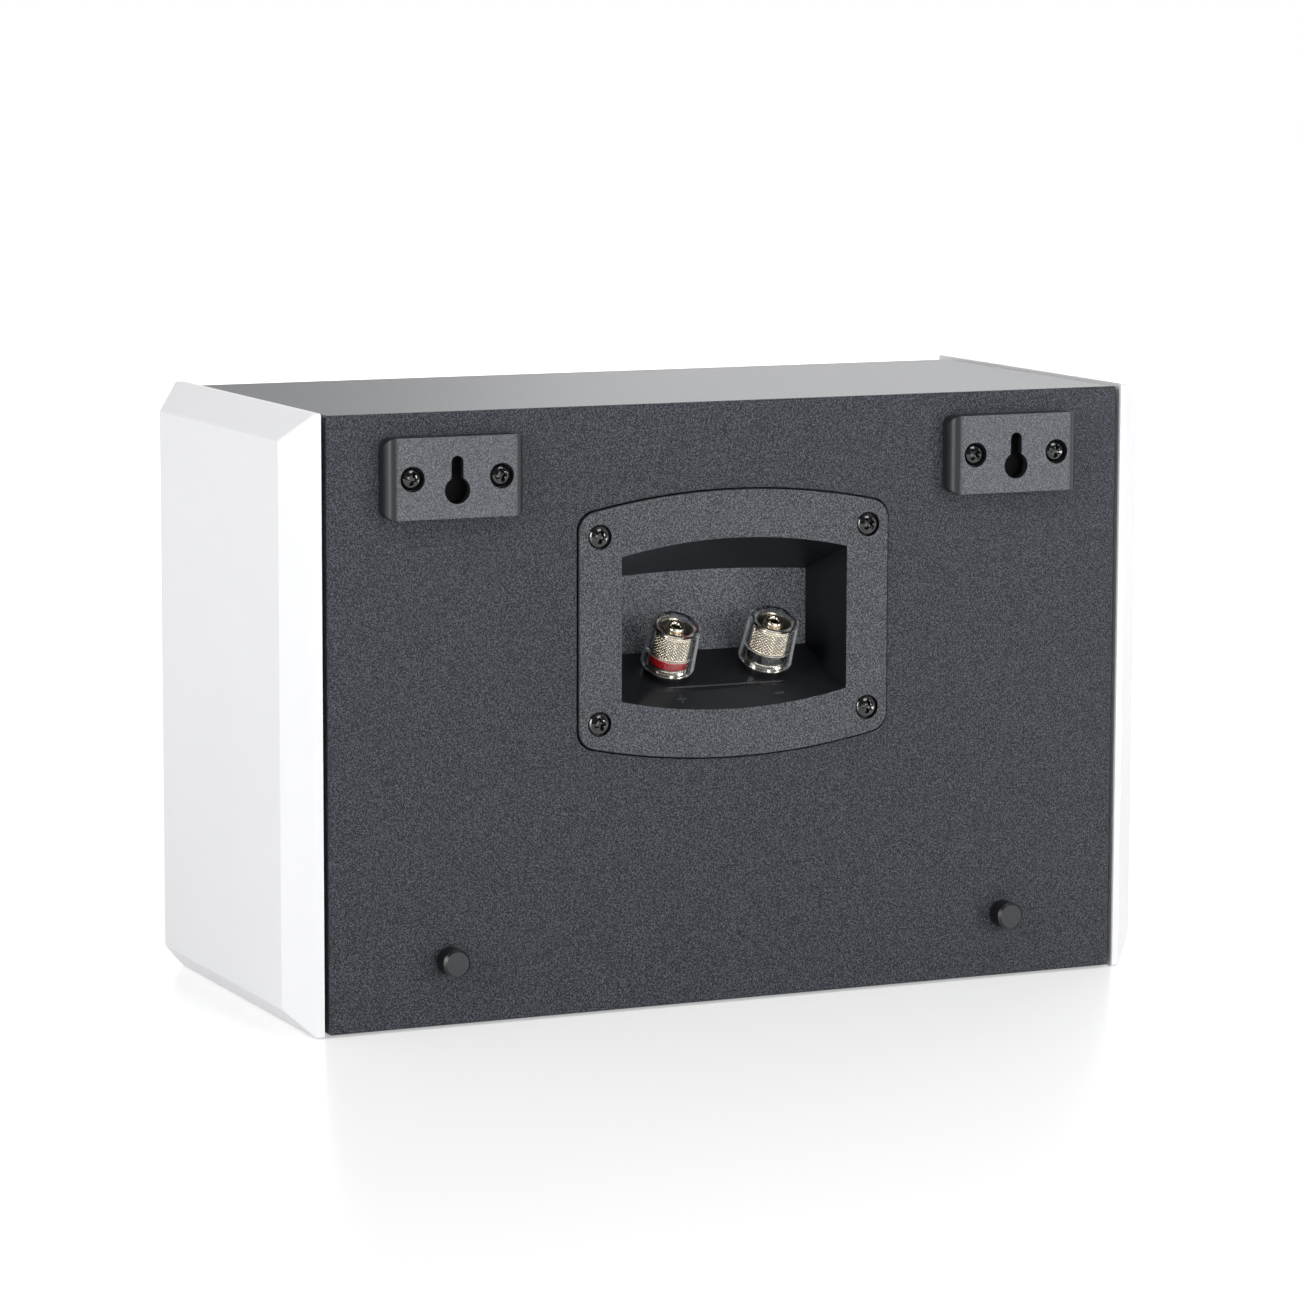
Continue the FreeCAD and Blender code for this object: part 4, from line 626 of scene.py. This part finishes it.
class SPEAKER_OT_wall_parts(bpy.types.Operator):
    """Finish the brackets, the bumpers and every screw."""

    bl_idname = "speaker.wall_parts"
    bl_label = "Brackets, Bumpers and Screws"

    def execute(self, context):
        looks = context.scene.speaker_looks
        # The brackets' sides and keyhole walls get a darker smooth colour: a satin finish, and painted shade.
        moulded = moulded_grain("bracket_plastic", looks.bracket, (0.014, 0.015, 0.017), (0.42, 1.8),
                                (0.93, 0.99), gloss=0.45)
        dress(moulded, "left_keyhole_bracket", "right_keyhole_bracket")
        for side in ("left", "right"):
            self.pocket(side)
        # The bumpers' side walls are painted far darker than their faces: painted shade.
        dress(moulded_grain("bumper_rubber", (0.032, 0.034, 0.038), (0.006, 0.006, 0.007), (0.8, 1.25),
                            (0.8, 0.95), gloss=0.4), "wall_bumpers")
        oxide = plastic("black_oxide", (0.004, 0.004, 0.005), 0.08, grain=0.5, depth=0.002,
                        Specular_IOR_Level=0.8)
        dress(oxide, "cup_screws", "bracket_screws", "driver_screws", "cheek_screws", "board_screws")
        details = context.scene.speaker_details
        for node in ("cup_screws", "bracket_screws"):
            self.screws(node, oxide, details)
        return {"FINISHED"}

    def pocket(self, side):
        """A near-black pad on the back panel behind a bracket's keyhole: a dark sheet that paints the shade inside
        the keyhole.
        """
        mount = next(m for m in frame["record"]["mounts"] if m["name"] == side + "_keyhole")
        x, _, z = mount["pos_m"]
        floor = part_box("back_panel")[1].y
        radius, lift, steps = 5.2 * MM, 8.7 * MM, 20
        gap, thick = 0.02 * MM, 0.5 * MM
        ring = [(x + radius * math.cos(a), z + radius * math.sin(a) + (lift if i <= steps else 0.0))
                for i, a in enumerate(math.pi * j / steps for j in range(2 * steps))]
        mesh = bmesh.new()
        low = [mesh.verts.new((u, floor + gap, w)) for u, w in ring]
        high = [mesh.verts.new((u, floor + thick, w)) for u, w in ring]
        mesh.faces.new(low)
        mesh.faces.new(high[::-1])
        for i in range(len(ring)):
            after = (i + 1) % len(ring)
            mesh.faces.new((low[after], low[i], high[i], high[after]))
        bmesh.ops.recalc_face_normals(mesh, faces=mesh.faces)
        # Near-black sheet: painted shade seen through the keyhole.
        shade_sheet = fibre("keyhole_shade_sheet", (0.004, 0.004, 0.004))
        pad = new_piece(side + "_keyhole_shade_pad", mesh, shade_sheet)
        for polygon in pad.data.polygons:
            polygon.use_smooth = False

    def screws(self, node, material, details):
        """Domed heads with a tapered cross, on shanks, in the places of a node's screws."""
        data = NODES[node].data
        bm = bmesh.new()
        bm.from_mesh(data)
        bmesh.ops.remove_doubles(bm, verts=bm.verts, dist=0.002 * MM)
        bm.verts.index_update()
        groups, seen = [], set()
        for start in bm.verts:
            if start.index in seen:
                continue
            group, queue = [], [start]
            seen.add(start.index)
            while queue:
                vert = queue.pop()
                group.append(vert.co.copy())
                for edge in vert.link_edges:
                    other = edge.other_vert(vert)
                    if other.index not in seen:
                        seen.add(other.index)
                        queue.append(other)
            groups.append(group)
        bm.free()
        mesh = bmesh.new()
        for turn, group in enumerate(groups):
            low = Vector([min(p[i] for p in group) for i in range(3)])
            high = Vector([max(p[i] for p in group) for i in range(3)])
            self.screw(mesh, low, high, math.radians(12 + 31 * turn), details)
        piece = new_piece("fine_" + node, mesh, material)
        piece.data.set_sharp_from_angle(angle=math.radians(35))
        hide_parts(node)

    def screw(self, mesh, low, high, turn, details):
        """One screw whose axis runs along Y, inside its box."""
        centre, radius, top = (low + high) / 2, (high.x - low.x) / 2, high.y
        head = details.head_height
        arm, width, deep = 0.62 * radius, 0.17 * radius, 0.62 * head
        spokes, rings = 64, 26

        def height(u, w):
            r = min(math.hypot(u, w) / radius, 1.0)
            dome = head * (1 - 0.62 * r ** 2.6)
            c, s = math.cos(turn), math.sin(turn)
            a, b = abs(c * u + s * w), abs(c * w - s * u)
            long, short = max(a, b), min(a, b)
            side = (width * (1.15 - 0.3 * long / arm) - short) / (0.32 * width)
            end = (arm - long) / (0.45 * arm)
            return dome - deep * max(min(side, end, 1.0), 0.0)

        angles = [2 * math.pi * j / spokes for j in range(spokes)]
        seat, shank = top - head, 0.5 * radius
        loops = []
        for i in range(1, rings + 1):
            r = radius * i / rings
            around = [(r * math.cos(a), r * math.sin(a)) for a in angles]
            loops.append([mesh.verts.new((centre.x + u, seat + height(u, w), centre.z + w))
                          for u, w in around])
        middle = mesh.verts.new((centre.x, seat + height(0, 0), centre.z))
        for r, y in ((radius, seat), (shank, seat), (shank, low.y + radius), (0.1 * shank, low.y)):
            loops.append([mesh.verts.new((centre.x + r * math.cos(a), y, centre.z + r * math.sin(a)))
                          for a in angles])
        faces = []
        for j in range(spokes):
            after = (j + 1) % spokes
            faces.append(mesh.faces.new((middle, loops[0][after], loops[0][j])))
            for one, two in zip(loops, loops[1:]):
                faces.append(mesh.faces.new((one[j], one[after], two[after], two[j])))
        faces.append(mesh.faces.new(loops[-1]))
        bmesh.ops.recalc_face_normals(mesh, faces=faces)


class SPEAKER_OT_grille(bpy.types.Operator):
    """Stretch the cloth over the grille frame and finish the frame."""

    bl_idname = "speaker.grille"
    bl_label = "Grille"

    def execute(self, context):
        dress(plastic("frame_plastic", (0.02, 0.02, 0.021), 0.55), "grille_frame", "grille_pegs",
              "grille_sockets")
        low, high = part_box("grille_cloth")
        mesh = bmesh.new()
        inset = 0.3 * MM
        corners = [(low.x + inset, high.z - inset), (high.x - inset, high.z - inset),
                   (high.x - inset, low.z + inset), (low.x + inset, low.z + inset)]
        front = [mesh.verts.new((x, low.y + inset, z)) for x, z in corners]
        back = [mesh.verts.new((x, high.y, z)) for x, z in corners]
        mesh.faces.new(front)
        for i in range(4):
            mesh.faces.new((front[i], back[i], back[(i + 1) % 4], front[(i + 1) % 4]))
        bmesh.ops.recalc_face_normals(mesh, faces=mesh.faces)
        cloth = woven_cloth(context.scene.speaker_looks)
        piece = new_piece("grille_cloth_sheet", mesh, cloth, "grille")
        edge = piece.modifiers.new("folded_edge", "BEVEL")
        edge.width, edge.segments = 1.2 * MM, 4
        thick = piece.modifiers.new("cloth_thickness", "SOLIDIFY")
        thick.thickness, thick.offset = 0.4 * MM, 0.0
        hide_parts("grille_cloth")
        return {"FINISHED"}


class SPEAKER_OT_drivers(bpy.types.Operator):
    """Finish the woofer and the tweeter."""

    bl_idname = "speaker.drivers"
    bl_label = "Drivers"

    def execute(self, context):
        dress(plastic("basket_powder_coat", (0.03, 0.03, 0.032), 0.5, grain=0.6), "woofer_basket")
        dress(plastic("driver_rubber", (0.018, 0.018, 0.019), 0.6), "woofer_surround", "woofer_gasket")
        dress(fibre("cone_paper", (0.045, 0.045, 0.048)), "woofer_cone", "woofer_dust_cap")
        dress(fibre("treated_cloth", (0.45, 0.26, 0.09), size=0.4), "woofer_spider")
        dress(fibre("dome_silk", (0.02, 0.02, 0.021), size=0.3, depth=0.03), "tweeter_dome",
              "tweeter_surround")
        dress(metal("zinc_plate", (0.55, 0.56, 0.58), 0.3), "woofer_top_plate", "woofer_pole_plate",
              "tweeter_top_plate", "tweeter_pole_plate")
        dress(plastic("ferrite", (0.05, 0.05, 0.052), 0.7, grain=1.0), "woofer_magnet", "tweeter_magnet")
        dress(plastic("driver_plastic", (0.025, 0.025, 0.026), 0.45), "tweeter_faceplate", "tweeter_can",
              "woofer_terminals", "board_standoffs")
        return {"FINISHED"}


class SPEAKER_OT_inside(bpy.types.Operator):
    """Finish the crossover, the wires and the wool."""

    bl_idname = "speaker.inside"
    bl_label = "Crossover, Wires and Wool"

    def execute(self, context):
        dress(metal("enamelled_copper", (0.62, 0.27, 0.10), 0.3, streak=0.5), "inductors",
              "woofer_voice_coil")
        dress(plastic("board_mask", (0.02, 0.16, 0.06), 0.35, grain=1.5), "crossover_board")
        dress(plastic("film_wrap", (0.62, 0.42, 0.05), 0.3), "capacitors")
        dress(plastic("cement_case", (0.72, 0.70, 0.65), 0.8), "resistor")
        dress(plastic("wire_jacket", (0.20, 0.015, 0.015), 0.4), "post_wires", "woofer_wires",
              "tweeter_wires")
        self.wool()
        return {"FINISHED"}

    def wool(self):
        """Two soft pads with an uneven surface, inside the room that the model gives them."""
        points = [v.co for v in NODES["damping_wool"].data.vertices]
        material = fibre("loose_wool", (0.50, 0.50, 0.48), size=1.5, depth=0.8)
        random.seed(4)
        for side, name in ((-1, "left_wool_pad"), (1, "right_wool_pad")):
            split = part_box("cabinet_brace")[0].x
            own = [p for p in points if (p.x > split) == (side > 0)]
            low = Vector([min(p[i] for p in own) for i in range(3)])
            high = Vector([max(p[i] for p in own) for i in range(3)])
            mesh = bmesh.new()
            bmesh.ops.create_cube(mesh, size=1.0)
            size, centre = (high - low) * 0.985, (high + low) / 2
            bmesh.ops.transform(mesh, matrix=Matrix.Translation(centre) @ Matrix.Diagonal((*size, 1)),
                                verts=mesh.verts)
            bmesh.ops.subdivide_edges(mesh, edges=mesh.edges, cuts=9, use_grid_fill=True)
            for vert in mesh.verts:
                out = [(vert.co[i] - centre[i]) / (size[i] / 2) for i in range(3)]
                rim = sorted(abs(v) for v in out)[1]
                vert.co = centre + (vert.co - centre) * (1 - 0.06 * rim ** 4 - 0.03 * random.random())
            piece = new_piece(name, mesh, material)
            smooth = piece.modifiers.new("soft", "SUBSURF")
            smooth.levels = smooth.render_levels = 1
            if side > 0:
                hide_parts("damping_wool")


class SPEAKER_OT_stage(bpy.types.Operator):
    """Set the floor, the lamps, the world and the camera."""

    bl_idname = "speaker.stage"
    bl_label = "Stage"

    def execute(self, context):
        stage = context.scene.speaker_stage
        self.floor()
        self.world()
        self.lamps(stage)
        self.camera(stage)
        context.scene.view_settings.view_transform = "Standard"
        return {"FINISHED"}

    def floor(self):
        """A wide pale floor that shows the shadow and a faint reflection."""
        bpy.ops.mesh.primitive_plane_add(size=12.0, location=(0, 0, -0.0002))
        floor = bpy.context.object
        floor.name = "floor"
        finish = Finish("white_floor", Base_Color=(0.82, 0.82, 0.82), Roughness=0.27,
                        Specular_IOR_Level=0.55)
        # Painted light: the floor glows for camera and mirror rays. The glow is weaker near the speaker and
        # stronger farther out, where the lamps fall off.
        glow = finish.node("Emission")
        glow.inputs["Color"].default_value = (1, 1, 1, 1)
        path = finish.node("LightPath")
        mirrored = finish.math("MAXIMUM", path.outputs["Is Glossy Ray"], path.outputs["Is Transmission Ray"])
        seen = finish.math("MAXIMUM", path.outputs["Is Camera Ray"], mirrored)
        away = finish.node("VectorMath", operation="LENGTH")
        finish.link(finish.place, away.inputs[0])
        level = finish.ramp(finish.math("MULTIPLY", away.outputs["Value"], 0.25), (0.1, 0.40), (0.3, 0.78))
        finish.link(finish.math("MULTIPLY", seen, level), glow.inputs["Strength"])
        both = finish.node("AddShader")
        finish.link(finish.shader.outputs[0], both.inputs[0])
        finish.link(glow.outputs[0], both.inputs[1])
        finish.link(both.outputs[0], finish.out.inputs["Surface"])
        floor.data.materials.append(finish.material)

    def world(self):
        """White to look at and to be mirrored, softer as a light."""
        world = bpy.data.worlds.new("studio")
        bpy.context.scene.world = world
        world.use_nodes = True
        tree = world.node_tree
        tree.nodes.clear()
        out = tree.nodes.new("ShaderNodeOutputWorld")
        sky = tree.nodes.new("ShaderNodeBackground")
        path = tree.nodes.new("ShaderNodeLightPath")
        seen = [path.outputs[name] for name in ("Is Camera Ray", "Is Glossy Ray", "Is Transmission Ray")]
        top = seen[0]
        for other in seen[1:]:
            either = tree.nodes.new("ShaderNodeMath")
            either.operation = "MAXIMUM"
            tree.links.new(top, either.inputs[0])
            tree.links.new(other, either.inputs[1])
            top = either.outputs[0]
        split = tree.nodes.new("ShaderNodeSeparateXYZ")
        tree.links.new(tree.nodes.new("ShaderNodeTexCoord").outputs["Generated"], split.inputs[0])
        room = tree.nodes.new("ShaderNodeMapRange")
        for name, value in (("From Min", -0.1), ("From Max", 0.45), ("To Min", 1.0), ("To Max", 0.12)):
            room.inputs[name].default_value = value
        tree.links.new(split.outputs["Y"], room.inputs["Value"])
        white = tree.nodes.new("ShaderNodeMath")
        white.operation = "MAXIMUM"
        tree.links.new(room.outputs[0], white.inputs[0])
        tree.links.new(path.outputs["Is Camera Ray"], white.inputs[1])
        level = tree.nodes.new("ShaderNodeMapRange")
        level.inputs["To Min"].default_value = 0.35
        tree.links.new(top, level.inputs["Value"])
        tree.links.new(white.outputs[0], level.inputs["To Max"])
        tree.links.new(level.outputs[0], sky.inputs["Strength"])
        sky.inputs["Color"].default_value = (1, 1, 1, 1)
        tree.links.new(sky.outputs[0], out.inputs["Surface"])

    def lamps(self, stage):
        """Soft lamps on both sides, in front and above, and a wide one behind the speaker."""
        for name, place, size, share in (("left_lamp", (2.0, 1.0, 0.75), (0.5, 1.3), 0.83),
                                         ("right_lamp", (-1.25, 1.35, 0.42), (0.4, 0.5), 0.28),
                                         ("front_lamp", (-0.2, 1.9, 0.3), (0.6, 0.4), 0.18),
                                         ("high_lamp", (-0.2, 0.8, 1.1), (0.6, 0.4), 0.14),
                                         ("far_lamp", (-1.45, -1.7, 1.2), (1.7, 1.4), 0.53)):
            data = bpy.data.lights.new(name, "AREA")
            data.shape, data.energy = "RECTANGLE", stage.lamp_power * share
            data.size, data.size_y = size
            lamp = bpy.data.objects.new(name, data)
            bpy.context.scene.collection.objects.link(lamp)
            lamp.location = place
            aim = Vector((0, 0, 0.1)) - Vector(place)
            lamp.rotation_euler = aim.to_track_quat("-Z", "Y").to_euler()

    def camera(self, stage):
        """The camera behind the speaker, a little above it."""
        a, e = math.radians(stage.azimuth), math.radians(stage.elevation)
        back = Vector((math.sin(a) * math.cos(e), -math.cos(a) * math.cos(e), math.sin(e)))
        right = (-back).cross(Vector((0, 0, 1))).normalized()
        up = right.cross(-back)
        c, s = math.cos(math.radians(stage.roll)), math.sin(math.radians(stage.roll))
        turn = Matrix((c * right + s * up, c * up - s * right, back)).transposed().to_4x4()
        data = bpy.data.cameras.new("camera")
        data.lens, data.sensor_width = stage.lens, 36.0
        data.clip_start, data.clip_end = 0.01, 100.0
        camera = bpy.data.objects.new("camera", data)
        bpy.context.scene.collection.objects.link(camera)
        camera.matrix_world = Matrix.Translation(Vector(stage.camera)) @ turn
        bpy.context.scene.camera = camera


class SPEAKER_PT_panel(bpy.types.Panel):
    """The speaker's steps, in order."""

    bl_idname = "SPEAKER_PT_panel"
    bl_label = "Bookshelf Speaker"
    bl_space_type = "VIEW_3D"
    bl_region_type = "UI"
    bl_category = "Speaker"

    def draw(self, context):
        for operator in OPERATORS:
            self.layout.operator(operator.bl_idname)
        for group in ("speaker_looks", "speaker_details", "speaker_stage"):
            settings = getattr(context.scene, group)
            for name in settings.bl_rna.properties.keys():
                if name not in ("rna_type", "name"):
                    self.layout.prop(settings, name)


OPERATORS = (SPEAKER_OT_cabinet, SPEAKER_OT_cheeks, SPEAKER_OT_terminal_cup, SPEAKER_OT_posts,
             SPEAKER_OT_wall_parts, SPEAKER_OT_grille, SPEAKER_OT_drivers, SPEAKER_OT_inside,
             SPEAKER_OT_stage)
GROUPS = {"speaker_looks": SPEAKER_PG_looks, "speaker_details": SPEAKER_PG_details,
          "speaker_stage": SPEAKER_PG_stage}


def register():
    """Register the classes and put the settings on the scene."""
    for cls in (*GROUPS.values(), *OPERATORS, SPEAKER_PT_panel):
        bpy.utils.register_class(cls)
    for name, cls in GROUPS.items():
        setattr(bpy.types.Scene, name, PointerProperty(type=cls))


def unregister():
    """Take the settings and the classes away again."""
    for name in GROUPS:
        delattr(bpy.types.Scene, name)
    for cls in (SPEAKER_PT_panel, *reversed(OPERATORS), *GROUPS.values()):
        bpy.utils.unregister_class(cls)


def main():
    """Build everything."""
    register()
    for operator in OPERATORS:
        area, name = operator.bl_idname.split(".")
        getattr(getattr(bpy.ops, area), name)()
    bpy.context.view_layer.update()


if __name__ == "__main__":
    main()
